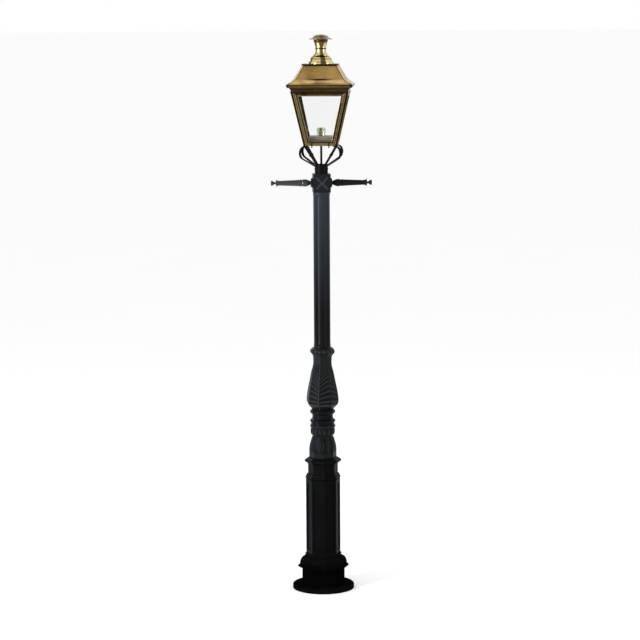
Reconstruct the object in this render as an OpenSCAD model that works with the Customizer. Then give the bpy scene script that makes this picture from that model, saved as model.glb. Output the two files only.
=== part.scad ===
// Street lamp post: a cast-iron column with a ladder bar, a forged frog and a four-sided brass lantern.
// The origin is the centre of the foot on the ground, +Z is up and the lantern's glazed door faces -Y.

/* [Foot] */
// Diameter of the round foot flange
flange_d = 340; // [330:5:400]
// Thickness of the foot flange
flange_t = 22; // [14:1:30]
// Rounding of the flange's top edge
flange_edge_r = 5; // [1:0.5:6]
// Pitch circle of the anchor holes
anchor_pcd = 280; // [270:5:290]
// Diameter of the anchor holes
anchor_hole_d = 18; // [12:1:22]
// Number of anchor holes
anchor_count = 4; // [3:1:8]
// Diameter of the cable entry through the flange
cable_entry_d = 100; // [60:5:120]
// Turn of the cast post away from the lantern's front
post_turn = 7; // [-20:1:20]
// Plinth size across its corners
plinth_d = 236; // [230:2:240]
// Height of the plinth's straight side
plinth_h = 84; // [60:2:120]
// Width of the fillet at the plinth's foot
plinth_foot = 7; // [2:1:10]

/* [Pedestal] */
// Base moulding size across its corners
moulding_d = 284; // [272:2:290]
// Height of the base moulding
moulding_h = 94; // [84:2:110]
// Pedestal size across its corners
pedestal_d = 190; // [182:2:194]
// Height of the panelled pedestal
pedestal_h = 416; // [300:4:600]
// Hollow of the pedestal, across its corners
pedestal_bore_d = 162; // [130:2:166]
// Depth of the recessed panels
panel_depth = 4; // [2:0.5:5]
// Width of the stile beside each panel
panel_stile = 12; // [8:1:18]
// Height of the rail above and below each panel
panel_rail = 20; // [12:1:40]
// Cap moulding size across its corners
cap_d = 195; // [190:1:200]
// Height of the cap moulding's lower band
cap_band_h = 25; // [20:1:30]
// Neck above the cap band, across its corners
cap_neck_d = 165; // [156:1:170]
// Height of the neck
cap_neck_h = 58; // [40:2:80]
// Height of the bead at the top of the cap
cap_bead_h = 42; // [34:1:50]

/* [Baluster] */
// Bell foot size across its corners
bell_d = 151; // [146:1:156]
// Height of the bell
bell_h = 115; // [90:5:150]
// Diameter of the necks between the rings
waist_d = 114; // [106:1:118]
// Diameter of the rings
ring_d = 140; // [134:1:146]
// Height of the drum with its upright lobes
drum_h = 70; // [50:2:90]
// Number of lobes round the drum
lobes = 16; // [10:1:24]
// Height of the double-ring collar
collar_h = 82; // [70:2:100]
// Greatest diameter of the vase
vase_d = 180; // [170:2:188]
// Height of the vase
vase_h = 342; // [280:2:400]
// Number of leaves round the vase
leaves = 4; // [3:1:6]
// Number of veins up each leaf
veins = 14; // [8:1:16]
// Depth of the veins
vein_depth = 1.8; // [1:0.2:3]
// Turn of the vase on the collar
vase_turn = -19; // [-30:1:30]

/* [Shaft] */
// Diameter of the fluted shaft
shaft_d = 93; // [86:1:98]
// Length of the fluted shaft
shaft_h = 853; // [600:1:1400]
// Number of flutes
flutes = 6; // [4:1:7]
// Width of each flute
flute_w = 30; // [22:1:32]
// Depth of each flute
flute_depth = 7; // [4:0.5:8]
// Plain band above and below the flutes
shaft_band = 12; // [8:1:40]
// Diameter of the cable way up the post
cable_way_d = 60; // [40:2:64]
// Wall of the hollow castings
wall = 13; // [10:1:15]

/* [Ladder bar] */
// Width of the square ladder-bar block
block_w = 95; // [92:1:102]
// Height of the block
block_h = 100; // [90:2:120]
// Overall length of the ladder bar
bar_span = 552; // [480:2:600]
// Radius of the rosette behind each arm
rosette_r = 27; // [24:1:32]
// Depth of the carving on the block's two faces
carving_t = 3; // [2:0.5:4]
// Thickness of the rosette
rosette_t = 11; // [6:1:14]
// Greatest radius of an arm
arm_r = 19; // [16:0.5:22]

/* [Frog] */
// Diameter of the frog's socket
socket_d = 72; // [68:1:80]
// Wall of the frog's socket
socket_wall = 6; // [4:0.5:8]
// Height of the frog's socket
socket_h = 52; // [44:1:60]
// Height from the block to the lantern
frog_h = 154; // [140:2:190]
// Diameter of the frog's legs
leg_d = 12; // [8:1:14]
// Radius of the scroll braces
scroll_r = 35; // [26:1:38]
// Width of the scroll's flat bar
scroll_w = 14; // [8:1:18]
// Thickness of the scroll's flat bar
scroll_t = 5; // [3:0.5:6]
// Diameter of the wiring conduit
conduit_d = 12; // [8:1:13]

/* [Lantern body] */
// Width of the lantern body at its bottom
body_bottom_w = 180; // [170:2:190]
// Width of the lantern body at its top
body_top_w = 320; // [306:2:330]
// Height of the lantern body
body_h = 313; // [280:1:360]
// Face width of the corner posts
corner_w = 24; // [18:1:28]
// Thickness of the corner posts' brass
corner_t = 4; // [2:0.5:5]
// Height of the bottom rail
rail_h = 16; // [12:1:22]
// Height of the frieze under the eaves
frieze_h = 28; // [22:1:36]
// Face width of the glazing frames
stile_w = 10; // [7:0.5:14]
// Thickness of the glazing frames
frame_t = 4; // [3:0.5:5]
// Thickness of the glass
glass_t = 3; // [2:0.5:4]
// Distance from the body's lower edge in to the raised floor tray
tray_in = 26; // [25:1:30]
// Height of the raised floor tray
tray_h = 35; // [24:1:44]
// Thickness of the floor tray's sheet
tray_t = 2; // [1:0.5:3]

/* [Door] */
// Running gap round the glazed door
door_gap = 1; // [0.6:0.1:1.5]
// Distance between the two hinges
hinge_pitch = 160; // [120:5:180]
// Length of each hinge
hinge_l = 44; // [30:2:56]
// Radius of the hinge barrel
barrel_r = 3.5; // [3:0.25:4]
// Radius of the hinge pin
pin_r = 1.5; // [1:0.25:1.75]
// Distance between the two turn buttons
button_pitch = 92; // [70:2:110]
// Width of a turn button
button_w = 10; // [8:0.5:14]
// Length of a turn button
button_l = 25; // [20:1:28]
// Thickness of a turn button
button_t = 2.5; // [1.5:0.5:4]

/* [Roof] */
// Width across the eaves
eave_w = 356; // [344:2:370]
// Height of the eaves band
eave_h = 20; // [16:1:26]
// Width of the roof where the hips meet the flare
break_w = 268; // [256:2:280]
// Height of the flare above the eaves band
flare_h = 29; // [22:1:40]
// Height of the straight roof
roof_h = 68; // [50:1:90]
// Width of the crown plate
crown_w = 196; // [182:2:208]
// Thickness of the crown plate
crown_t = 9; // [6:0.5:14]
// Overhang of the crown plate
crown_lap = 3; // [2:0.5:6]
// Thickness of the roof's brass
roof_t = 2.5; // [1.5:0.5:4]
// Width of the hip cappings
hip_w = 10; // [6:0.5:14]

/* [Chimney] */
// Diameter of the chimney's bell foot
bell_foot_d = 142; // [130:1:156]
// Height of the bell foot
bell_foot_h = 62; // [50:1:72]
// Diameter of the chimney neck
neck_d = 57; // [50:1:62]
// Height of the chimney neck
neck_h = 64; // [50:1:80]
// Diameter of the neck's flared lip
lip_d = 80; // [72:1:86]
// Diameter of the cap's brim
brim_d = 128; // [110:1:140]
// Diameter of the cap's dome
dome_d = 86; // [76:1:96]
// Height of the cap's dome
dome_h = 26; // [20:1:32]
// Rise of the brim from its rim to the dome
brim_rise = 6; // [2:0.5:8]
// Air gap between the lip and the brim
vent_gap = 5; // [4:0.5:14]
// Thickness of the chimney's brass
spun_t = 2; // [1.5:0.25:3]

/* [Lampholder] */
// Radius of the lampholder's porcelain ring
holder_r = 24.5; // [22:0.5:28]
// Height of the lampholder
holder_h = 42; // [36:1:52]
// Radius inside the lamp's screw shell
lamp_thread_r = 13.3; // [12.5:0.1:14]
// Depth of the lamp's screw shell
lamp_thread_h = 20; // [16:1:24]

/* [Hidden] */
$fn = 64;
sides = 8;
fit = 0.3;
far = 1000;
over = 1;
iron = [0.10, 0.11, 0.12];
brass = [0.66, 0.50, 0.26];
bright_brass = [0.86, 0.70, 0.36];
steel = [0.55, 0.56, 0.57];
porcelain = [0.90, 0.90, 0.86];
clear = [0.75, 0.85, 0.88, 0.35];

// Levels up the post
plinth_z = flange_t;
moulding_z = plinth_z + plinth_h;
pedestal_z = moulding_z + moulding_h;
cap_z = pedestal_z + pedestal_h;
cap_h = cap_band_h + cap_neck_h + cap_bead_h;
bell_z = cap_z + cap_h;
drum_z = bell_z + bell_h;
collar_z = drum_z + drum_h;
vase_z = collar_z + collar_h;
shaft_z = vase_z + vase_h;
block_z = shaft_z + shaft_h;
socket_z = block_z + block_h;
body_z = socket_z + frog_h;
frieze_z = body_z + body_h - frieze_h;
eave_z = body_z + body_h;
flare_z = eave_z + eave_h;
break_z = flare_z + flare_h;
crown_z = break_z + roof_h;
foot_z = crown_z + crown_t;
neck_z = foot_z + bell_foot_h;
lip_z = neck_z + neck_h;
cap_under_z = lip_z + vent_gap;

cable_way_r = cable_way_d / 2;
tray_w = body_bottom_w - 2 * tray_in;
waist_bore = waist_d / 2 - wall;
shaft_r = shaft_d / 2;
socket_r = socket_d / 2;
socket_in_r = socket_r - socket_wall;

// Slope of the lantern's tapering sides
body_k = (body_top_w - body_bottom_w) / (2 * body_h);
lean = atan(body_k);
function half(z) = body_bottom_w / 2 + body_k * (z - body_z);
function along(z) = (z - body_z) / cos(lean);
function face_half(s) = body_bottom_w / 2 + s * sin(lean);

function arc(cx, cy, r, a0, a1, n) =
    [for (i = [0:n]) let (a = a0 + (a1 - a0) * i / n) [cx + r * cos(a), cy + r * sin(a)]];
function quarter(x0, y0, x1, y1, n) =
    [for (i = [0:n]) let (a = 90 * i / n) [x1 + (x0 - x1) * cos(a), y0 + (y1 - y0) * sin(a)]];
// Smooth curve through outline points given as [height, radius], read at height t
function outline(pts, t, i = 0) =
    t <= pts[i + 1][0] || i == len(pts) - 2
    ? let (a = pts[max(i - 1, 0)], b = pts[i], c = pts[i + 1], d = pts[min(i + 2, len(pts) - 1)],
        w = c[0] - b[0], u = (t - b[0]) / w,
        m0 = (c[1] - a[1]) / (c[0] - a[0]) * w, m1 = (d[1] - b[1]) / (d[0] - b[0]) * w)
      b[1] * (2 * u ^ 3 - 3 * u ^ 2 + 1) + m0 * (u ^ 3 - 2 * u ^ 2 + u)
      + c[1] * (3 * u ^ 2 - 2 * u ^ 3) + m1 * (u ^ 3 - u ^ 2)
    : outline(pts, t, i + 1);
// Radius of a polygon of n sides with its corners at radius 1, towards angle a
function leaf_flat(a, n) = let (p = 360 / n) cos(p / 2) / cos((a % p) - p / 2);
function faceted(a) = leaf_flat(a, sides);
// Distance from a leaf's midrib, from 0 at the rib to 1 between two leaves
function leaf_u(a, count) = abs(((a / 360 * count + 0.5) % 1) - 0.5) * 2;
function fade(t, a, b) = t < a ? t / a : t > 1 - b ? (1 - t) / b : 1;

// A closed tube whose outside is carved: outer_r(a, i) and height(a, i) give each point of its grid,
// and bore lists the inside's [height, radius] from its foot to its top
module carved_tube(columns, rows, bore, outer_r, height) {
    outer = [for (i = [0:rows], j = [0:columns - 1]) let (a = 360 * j / columns, r = outer_r(a, i))
        [r * cos(a), r * sin(a), height(a, i)]];
    inner = [for (b = bore, j = [0:columns - 1]) let (a = 360 * j / columns) [b[1] * cos(a), b[1] * sin(a), b[0]]];
    first = (rows + 1) * columns;
    last = first + (len(bore) - 1) * columns;
    function next(j) = (j + 1) % columns;
    walls = [for (i = [0:rows - 1], j = [0:columns - 1]) let (p = i * columns) each
        [[p + j, p + columns + j, p + next(j)], [p + next(j), p + columns + j, p + columns + next(j)]]];
    inside = [for (i = [0:len(bore) - 2], j = [0:columns - 1]) let (p = first + i * columns) each
        [[p + j, p + next(j), p + columns + j], [p + next(j), p + columns + next(j), p + columns + j]]];
    foot = [for (j = [0:columns - 1]) each [[j, next(j), first + j], [next(j), first + next(j), first + j]]];
    top = [for (j = [0:columns - 1]) let (o = rows * columns) each
        [[o + j, last + j, o + next(j)], [o + next(j), last + j, last + next(j)]]];
    polyhedron(concat(outer, inner), concat(walls, inside, foot, top));
}

// An eight-sided moulding from a half outline of [radius, height] points
module eight_sided(points) rotate(post_turn) rotate_extrude($fn = sides) polygon(points);

// A profile drawn as [distance from the axis, height], run round a square with mitred corners
module square_run() {
    for (k = [0:3]) rotate(90 * k) intersection() {
        rotate([90, 0, 0]) linear_extrude(2 * far, center = true) children();
        linear_extrude(4 * far) polygon([[0, 0], [far, far], [far, -far]]);
    }
}

// A bar that leans with the lantern's +X +Y corner, between two depths in from both faces
module corner_bar(in0, in1, z0, z1) {
    side = [[half(z0) - in1, z0], [half(z0) - in0, z0], [half(z1) - in0, z1], [half(z1) - in1, z1]];
    intersection() {
        rotate([90, 0, 0]) linear_extrude(2 * far, center = true) polygon(side);
        rotate([90, 0, 90]) linear_extrude(2 * far, center = true) polygon(side);
    }
}

// Places its children on the lantern's front face: x across, y up the face, z outwards
module on_face(turn = 0) {
    rotate(turn) translate([0, -body_bottom_w / 2, body_z]) rotate([90 + lean, 0, 0]) children();
}

module base_flange() color(iron) difference() {
    r = flange_d / 2;
    e = flange_edge_r;
    rotate_extrude() polygon(concat([[cable_entry_d / 2, 0], [r, 0]],
        arc(r - e, flange_t - e, e, 0, 90, 6), [[cable_entry_d / 2, flange_t]]));
    for (k = [0:anchor_count - 1]) rotate(post_turn + 180 / sides + 360 * k / anchor_count)
        translate([anchor_pcd / 2, 0, -over]) cylinder(d = anchor_hole_d, h = flange_t + 2 * over);
}

module plinth() color(iron) {
    r = plinth_d / 2;
    m = moulding_d / 2;
    p = pedestal_d / 2;
    inner = pedestal_bore_d / 2;
    low = r - wall;
    z = moulding_z;
    bead = 6;
    top = pedestal_z;
    ledge = top - 2 * bead - 4;
    eight_sided(concat(
        [[inner, ledge], [low, z], [low, plinth_z], [r + plinth_foot, plinth_z],
            [r + plinth_foot, plinth_z + 2]],
        arc(r + plinth_foot, plinth_z + 2 + plinth_foot, plinth_foot, 270, 180, 4),
        [[r, z], [r + 2, z + 4], [m - 4, z + 12], [m, z + 15], [m, z + 20], [m - 3, z + 24]],
        quarter(m - 11, z + 31, p + 7, ledge - 3, 6),
        [[p + 3, ledge - 2], [p + 3, ledge + 3]],
        arc(p + 1, top - bead - 1, bead, -70, 70, 5),
        [[p + 1, top], [inner, top]]));
}

module pedestal() color(iron) {
    flat = pedestal_d / 2 * cos(180 / sides);
    face_w = pedestal_d * sin(180 / sides);
    panel_w = face_w - 2 * panel_stile;
    panel_h = pedestal_h - 2 * panel_rail;
    step = 3;
    rotate(post_turn) difference() {
        translate([0, 0, pedestal_z]) linear_extrude(pedestal_h) difference() {
            circle(d = pedestal_d, $fn = sides);
            circle(d = pedestal_bore_d, $fn = sides);
        }
        for (k = [0:sides - 1]) rotate(180 / sides + 360 * k / sides)
            translate([0, 0, pedestal_z + panel_rail]) {
                panel_cut(flat - panel_depth / 2, panel_w, 0, panel_h);
                panel_cut(flat - panel_depth, panel_w - 2 * step, step, panel_h - step);
            }
    }
}

// Cuts one round-shouldered panel outwards from a given depth
module panel_cut(depth, w, z0, z1) translate([depth, 0, 0]) rotate([90, 0, 90])
    linear_extrude(far / 4) polygon(concat([[-w / 2, z0], [w / 2, z0]],
        [for (a = [0:15:180]) [w / 2 * cos(a), z1 - w / 4 + w / 4 * sin(a)]]));

module pedestal_cap() color(iron) {
    r = cap_d / 2;
    n = cap_neck_d / 2;
    b = bell_d / 2;
    inner = min(n, b) - wall;
    z1 = cap_z + cap_band_h;
    z2 = z1 + cap_neck_h;
    mid = z2 + cap_bead_h / 2;
    top = z2 + cap_bead_h;
    eight_sided(concat(
        [[inner, cap_z], [r - 4, cap_z], [r - 4, cap_z + 2], [r - 1, cap_z + 3]],
        arc(r - 7, cap_z + 10, 7, -60, 60, 5),
        [[r - 3, z1 - 7], [r - 4, z1 - 4]],
        quarter(r - 6, z1 - 3, n + 1, z1 + 8, 3),
        [[n, z1 + 12], [n, z2], [n + 3, z2 + 2], [n + 4, z2 + 7]],
        arc(r - 6, mid - 1, 10, -75, 75, 6),
        [[n + 5, top - 7], [b + 2, top - 4], [b + 1, top], [inner, top]]));
}

module bell() color(iron) {
    foot = bell_d / 2;
    neck = waist_d / 2;
    shape = [[0, foot], [0.36, foot], [0.56, foot - 2.5], [0.74, foot - 8], [0.92, neck + 4.5], [1, neck]];
    rows = 20;
    columns = 8 * sides;
    bore = [[0, foot - wall - 5], [bell_h * 0.5, foot - wall - 8], [bell_h, waist_bore]];
    rotate(post_turn) translate([0, 0, bell_z]) carved_tube(columns, rows, bore,
        function(a, i) let (t = i / rows, u = leaf_u(a - 180 / sides, sides), w = fade((t - 0.25) / 0.75, 0.2, 0.15))
            outline(shape, t) * (1 + (faceted(a) - 1) * (1 - t) ^ 0.5)
            - (t < 0.25 ? 0 : w * (2.2 * u ^ 2 + (u > 0.1 && u < 0.95 ? 0.9 * (i % 2) : 0))),
        function(a, i) let (t = i / rows, u = leaf_u(a - 180 / sides, sides))
            bell_h * (t + (t < 0.3 ? 0 : 0.11 * u * sin(180 * (t - 0.3) / 0.7))));
}

module lobed_drum() color(iron) {
    r = ring_d / 2;
    w = waist_d / 2;
    core = [[0, w], [0.08, w + 1], [0.18, r - 6], [0.32, r - 4], [0.58, r - 4], [0.66, r - 6], [0.72, r - 1],
        [0.8, r], [0.88, r - 1], [0.95, r - 5], [1, r - 6]];
    rows = 16;
    columns = 6 * lobes;
    bore = [[0, waist_bore], [drum_h, waist_bore]];
    rotate(post_turn + 5) translate([0, 0, drum_z]) carved_tube(columns, rows, bore,
        function(a, i) let (t = i / rows, u = leaf_u(a, lobes)) outline(core, t) - (t < 0.68 ? 3 * u ^ 2 * fade(t / 0.68, 0.4, 0.1) : 0),
        function(a, i) drum_h * i / rows);
}

module ring_collar() color(iron) {
    r = ring_d / 2;
    w = waist_d / 2;
    z = collar_z;
    bead = 9;
    translate([0, 0, z]) rotate_extrude() polygon(concat(
        [[waist_bore, 0], [r - 6, 0], [r - 6, 4]],
        arc(r - bead, 16, bead, -70, 70, 6),
        [[w + 3, 27]],
        quarter(w + 2, 28, w, 33, 3),
        [[w, collar_h - 33]],
        arc(w + 5, collar_h - 33, 5, 180, 100, 3),
        [[w + 5, collar_h - 27]],
        arc(r - bead, collar_h - 15, bead, -70, 70, 6),
        [[r - 7, collar_h - 4], [w + 1, collar_h - 3], [w + 1, collar_h],
            [waist_bore, collar_h]]));
}

// Share of the vase's height at a share w of its rows, which stand further apart lower down
function rise(w) = w + 0.28 * w * (1 - w);

// The vase: leaves folded flat along a raised midrib, and veins that climb away from it
module vase() color(iron) {
    wide = vase_d / 2;
    slim = shaft_r + 5;
    lip = shaft_r + 22;
    shape = [[0, waist_d / 2 + 2], [0.03, wide - 22], [0.07, wide - 8], [0.12, wide - 1], [0.16, wide],
        [0.23, wide - 2.5], [0.32, wide - 7.5], [0.46, wide - 18], [0.6, wide - 28], [0.72, slim],
        [0.83, slim], [0.87, slim + 3], [0.905, lip - 5], [0.935, lip], [0.965, lip - 3], [0.985, slim + 7],
        [1, shaft_r + 4]];
    rows_per_vein = 2;
    rows = veins * rows_per_vein + 12;
    columns = 16 * leaves;
    flat = 0.85;
    groove = 2.5;
    climb = 0.15;
    bore = [for (p = [[0, waist_bore], [0.05, waist_bore + 6], [0.13, wide - wall - 6], [0.24, wide - wall - 8],
        [0.4, wide - wall - 18], [0.62, slim - wall], [0.75, cable_way_r + 2], [1, cable_way_r + 2]])
        [p[0] * vase_h, p[1]]];
    rotate(post_turn + vase_turn) translate([0, 0, vase_z]) carved_tube(columns, rows, bore,
        function(a, i) let (t = rise(i / rows), u = leaf_u(a, leaves), s = fade(t, 0.1, 0.1),
                vein = i < 3 || t > 0.86 ? 0 : i % rows_per_vein)
            outline(shape, t + climb * u ^ 0.8 * sin(180 * t) ^ 2) * (1 + flat * s * (leaf_flat(a, 2 * leaves) - 1))
            - s * (u < 0.05 ? -1.4 : u > 0.95 ? groove : vein_depth * vein),
        function(a, i) let (t = rise(i / rows), u = leaf_u(a, leaves))
            vase_h * (t + climb * u ^ 0.8 * sin(180 * t) ^ 2));
}

module shaft() color(iron) {
    edge = sqrt(shaft_r ^ 2 - (flute_w / 2) ^ 2);
    rise = edge - (shaft_r - flute_depth);
    cutter_r = ((flute_w / 2) ^ 2 + rise ^ 2) / (2 * rise);
    low = shaft_band + cutter_r * 0.6;
    translate([0, 0, shaft_z]) rotate(post_turn - 90) difference() {
        cylinder(r = shaft_r, h = shaft_h);
        translate([0, 0, -over]) cylinder(r = cable_way_r, h = shaft_h + 2 * over);
        for (k = [0:flutes - 1]) rotate(360 * (k + 0.5) / flutes)
            translate([shaft_r - flute_depth + cutter_r, 0, 0]) {
                translate([0, 0, low]) cylinder(r = cutter_r, h = shaft_h - 2 * low);
                for (z = [low, shaft_h - low]) translate([0, 0, z]) sphere(r = cutter_r);
            }
    }
}

// The block's bush seat and spigot, shared with the conduit's bush and the frog's socket
spigot_r = socket_in_r - fit;
spigot_h = socket_h - 10;
seat_r = spigot_r - 6;
seat_z = socket_z - 13;
arm_spigot_r = 8;
arm_spigot_l = 18;

module ladder_block() color(iron) translate([0, 0, block_z]) rotate(post_turn) difference() {
    union() {
        difference() {
            translate([-block_w / 2, -block_w / 2, 0]) cube([block_w, block_w, block_h]);
            for (k = [0:1]) on_block(k) translate([0, 0, -carving_t])
                linear_extrude(carving_t + over) square([block_w - 14, block_h - 14], center = true);
        }
        translate([0, 0, block_h]) cylinder(r = spigot_r, h = spigot_h);
        for (s = [-1, 1]) translate([s * block_w / 2, 0, block_h / 2]) rotate([0, s * 90, 0])
            rotate_extrude() polygon(concat([[0, -over], [rosette_r, -over], [rosette_r, rosette_t / 2]],
                quarter(rosette_r - 2, rosette_t / 2, rosette_r - 7, rosette_t, 3), [[0, rosette_t]]));
    }
    translate([0, 0, -over]) cylinder(r = seat_r - 5, h = block_h + spigot_h + 2 * over);
    translate([0, 0, seat_z - block_z]) cylinder(r = seat_r, h = socket_h);
    for (s = [-1, 1]) translate([s * (block_w / 2 + rosette_t + over), 0, block_h / 2]) rotate([0, -s * 90, 0])
        cylinder(r = arm_spigot_r + fit, h = arm_spigot_l + over + fit);
}

// Places its children on the middle of the block's front face, or with k = 1 on its back
module on_block(k) rotate(180 * k) translate([0, -block_w / 2, block_h / 2]) rotate([90, 0, 0]) children();

// A boss with four leaves, in the recess of either face
module block_carving() color(iron) translate([0, 0, block_z]) rotate(post_turn) for (k = [0:1])
    on_block(k) translate([0, 0, -carving_t]) linear_extrude(carving_t + 0.5) {
        circle(r = 10);
        for (a = [45:90:315]) rotate(a) leaf_2d(block_w * 0.54, block_w * 0.15);
    }

// A pointed leaf lying along +X from the origin
module leaf_2d(l, w) intersection_for (s = [-1, 1]) {
    r = (l ^ 2 / 4 + w ^ 2 / 4) / w;
    translate([l / 2, s * (r - w / 2)]) circle(r = r);
}

// One turned arm, from its spigot in the block to the knob at its end
module ladder_arm(side) color(iron) {
    l = bar_span / 2 - block_w / 2 - rosette_t;
    r = arm_r;
    knob = [[0, 0.53], [4, 0.55], [14, 0.84], [24, 1], [33, 1.06], [43, 1], [47, 0.88]];
    rotate(post_turn) translate([side * (block_w / 2 + rosette_t), 0, block_z + block_h / 2])
        rotate([0, side * 90, 0]) rotate_extrude() polygon(concat(
            [[0, -arm_spigot_l], [arm_spigot_r, -arm_spigot_l], [arm_spigot_r, 0]],
            [for (i = [0:12]) let (z = 47 * i / 12) [r * outline(knob, z), z]],
            [[r * 0.86, 50], [r * 1.04, 52], [r * 1.04, 58], [r * 0.9, 60], [r * 0.9, 63], [r * 0.95, 65],
                [r * 0.9, 70], [r * 0.69, l - 48], [r * 0.72, l - 43]],
            quarter(r * 0.76, l - 40, r, l - 32, 3),
            [[r, l - 29], [r * 0.5, l - 27], [r * 0.28, l - 25], [r * 0.28, l - 21], [r * 0.5, l - 15],
                [r * 0.74, l - 8], [r * 0.74, l - 3], [r * 0.62, l - 1], [0, l]]));
}
module ladder_arm_left() ladder_arm(-1);
module ladder_arm_right() ladder_arm(1);

screw_z = socket_z + socket_h / 2;
screw_r = 4;

module frog_socket() color(iron) difference() {
    translate([0, 0, socket_z]) rotate_extrude() polygon([[socket_in_r, 0], [socket_r, 0],
        [socket_r, socket_h - 1.5], [socket_r - 1.5, socket_h], [socket_in_r, socket_h]]);
    for (k = [0:3]) rotate(90 * k) translate([0, 0, screw_z]) rotate([0, 90, 0])
        cylinder(r = screw_r + fit, h = socket_d);
}

module frog_set_screws() color(iron)
    for (k = [0:3]) rotate(90 * k) translate([0, 0, screw_z]) rotate([0, 90, 0]) {
        difference() {
            translate([0, 0, spigot_r + 0.1]) cylinder(r = screw_r, h = socket_wall + fit + 1.2);
            translate([0, 0, socket_r + 0.2]) translate([-screw_r - over, -0.5, 0]) cube([2 * screw_r + 2 * over, 1, 2 * over]);
        }
    }

// Where a leg meets the lantern: the centre of its foot, measured out along the diagonal
leg_foot_r = 12;
leg_foot_t = 6;
leg_in = 10;
leg_top = (body_bottom_w / 2 - leg_in) * sqrt(2);
leg_out = 5;
stud_r = 4;

module frog_legs() color(iron) {
    top_z = body_z - leg_foot_t / 2;
    low = [socket_r - socket_wall / 2, socket_z + socket_h - 2];
    run = [leg_top + leg_out - low[0], top_z - low[1]];
    for (k = [0:3]) rotate(45 + 90 * k) {
        difference() {
            intersection() {
                translate([low[0], 0, low[1]]) rotate([0, atan2(run[0], run[1]), 0])
                    translate([0, 0, -leg_d]) cylinder(d = leg_d, h = norm(run) + 2 * leg_d);
                translate([0, -far / 2, socket_z]) cube([far, far, frog_h - leg_foot_t + over]);
            }
            translate([0, 0, socket_z - over]) cylinder(r = socket_r, h = socket_h + over);
        }
        translate([leg_top, 0, body_z - leg_foot_t]) cylinder(r = leg_foot_r, h = leg_foot_t);
        translate([leg_top, 0, body_z - over]) cylinder(r = stud_r, h = rail_h + 8 + over);
    }
}

// The scroll's centre line: up from the socket, tangent to its round end, and back to the leg's foot
scroll_end = body_z - leg_foot_t / 2;
scroll_c = [leg_top + leg_foot_r / 2, scroll_end - scroll_r];
scroll_low = [socket_r + 2, socket_z + socket_h - 13];

module frog_scrolls() color(iron) {
    back = scroll_low - scroll_c;
    a0 = atan2(back[1], back[0]) + acos(scroll_r / norm(back));
    steps = 14;
    line = concat([scroll_low - 6 * [cos(a0 + 90), sin(a0 + 90)]],
        [for (i = [0:steps]) let (a = a0 + (90 - a0) * i / steps) scroll_c + scroll_r * [cos(a), sin(a)]],
        [[leg_top, scroll_end]]);
    turn = concat([a0 + 360], [for (i = [0:steps]) a0 + 360 + (90 - a0) * i / steps], [90]);
    outside = [for (i = [0:len(line) - 1]) line[i] + scroll_t / 2 * [cos(turn[i]), sin(turn[i])]];
    inside = [for (i = [len(line) - 1:-1:0]) line[i] - scroll_t / 2 * [cos(turn[i]), sin(turn[i])]];
    for (k = [0:3]) rotate(45 + 90 * k) difference() {
        rotate([90, 0, 0]) linear_extrude(scroll_w, center = true) polygon(concat(outside, inside));
        cylinder(r = socket_r, h = 4 * far);
        translate([leg_top, 0, scroll_end - scroll_t]) cylinder(r = leg_foot_r, h = 2 * leg_foot_t + scroll_t);
    }
}

module frog_nuts() color(brass)
    for (k = [0:3]) rotate(45 + 90 * k) translate([leg_top, 0, body_z + rail_h]) difference() {
        cylinder(r = stud_r * 1.75, h = 6, $fn = 6);
        translate([0, 0, -over]) cylinder(r = stud_r + 0.1, h = 6 + 2 * over);
    }

bush_h = 11;
conduit_r = conduit_d / 2;
tray_z = body_z + rail_h + tray_h;
nut_h = 7;
nut_r = conduit_r + 4.5;

module conduit_bush() color(steel) translate([0, 0, seat_z]) difference() {
    cylinder(r = seat_r - fit, h = bush_h);
    translate([0, 0, -over]) cylinder(r = conduit_r + 0.1, h = bush_h + 2 * over);
}

module conduit() color(iron) translate([0, 0, seat_z - 10]) difference() {
    cylinder(r = conduit_r, h = tray_z + 5 - seat_z + 10);
    translate([0, 0, -over]) cylinder(r = conduit_r - 1.5, h = far);
}

module conduit_nuts() color(brass) for (z = [seat_z + bush_h, tray_z - tray_t - nut_h]) translate([0, 0, z])
    difference() {
        cylinder(r = nut_r, h = nut_h, $fn = 6);
        translate([0, 0, -over]) cylinder(r = conduit_r + 0.1, h = nut_h + 2 * over);
    }

// The four corner posts are angles, open towards the middle of the lantern; a seat cut for one is
// made a little too large outwards
module corner_post(x, y) color(brass) mirror([x < 0 ? 1 : 0, 0, 0]) mirror([0, y < 0 ? 1 : 0, 0]) corner_angle();
module corner_angle(out = 0) difference() {
    corner_bar(-out, corner_w, body_z - out, frieze_z);
    corner_bar(corner_t, corner_w + over, body_z - 2 * over, frieze_z + over);
}
module post_front_left() corner_post(-1, -1);
module post_front_right() corner_post(1, -1);
module post_back_left() corner_post(-1, 1);
module post_back_right() corner_post(1, 1);

module bottom_frame() color(brass) difference() {
    z1 = body_z + rail_h;
    square_run() polygon([[tray_w / 2 - 6, body_z], [half(body_z), body_z], [half(z1), z1],
        [tray_w / 2 - 6, z1]]);
    for (x = [0, 1], y = [0, 1]) mirror([x, 0, 0]) mirror([0, y, 0]) corner_angle(over);
    for (k = [0:3]) rotate(45 + 90 * k) translate([leg_top, 0, 0]) cylinder(r = stud_r + 0.1, h = 4 * far);
    for (s = [-1, 1]) button_pivot(s) translate([0, 0, -button_screw_l]) cylinder(r = button_screw_r, h = far / 8);
}

module floor_tray() color(steel) translate([0, 0, body_z + rail_h]) difference() {
    translate([-tray_w / 2, -tray_w / 2, 0]) cube([tray_w, tray_w, tray_h]);
    translate([-tray_w / 2 + tray_t, -tray_w / 2 + tray_t, -over])
        cube([tray_w - 2 * tray_t, tray_w - 2 * tray_t, tray_h - tray_t + over]);
    cylinder(r = conduit_r + 0.1, h = far);
}

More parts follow.
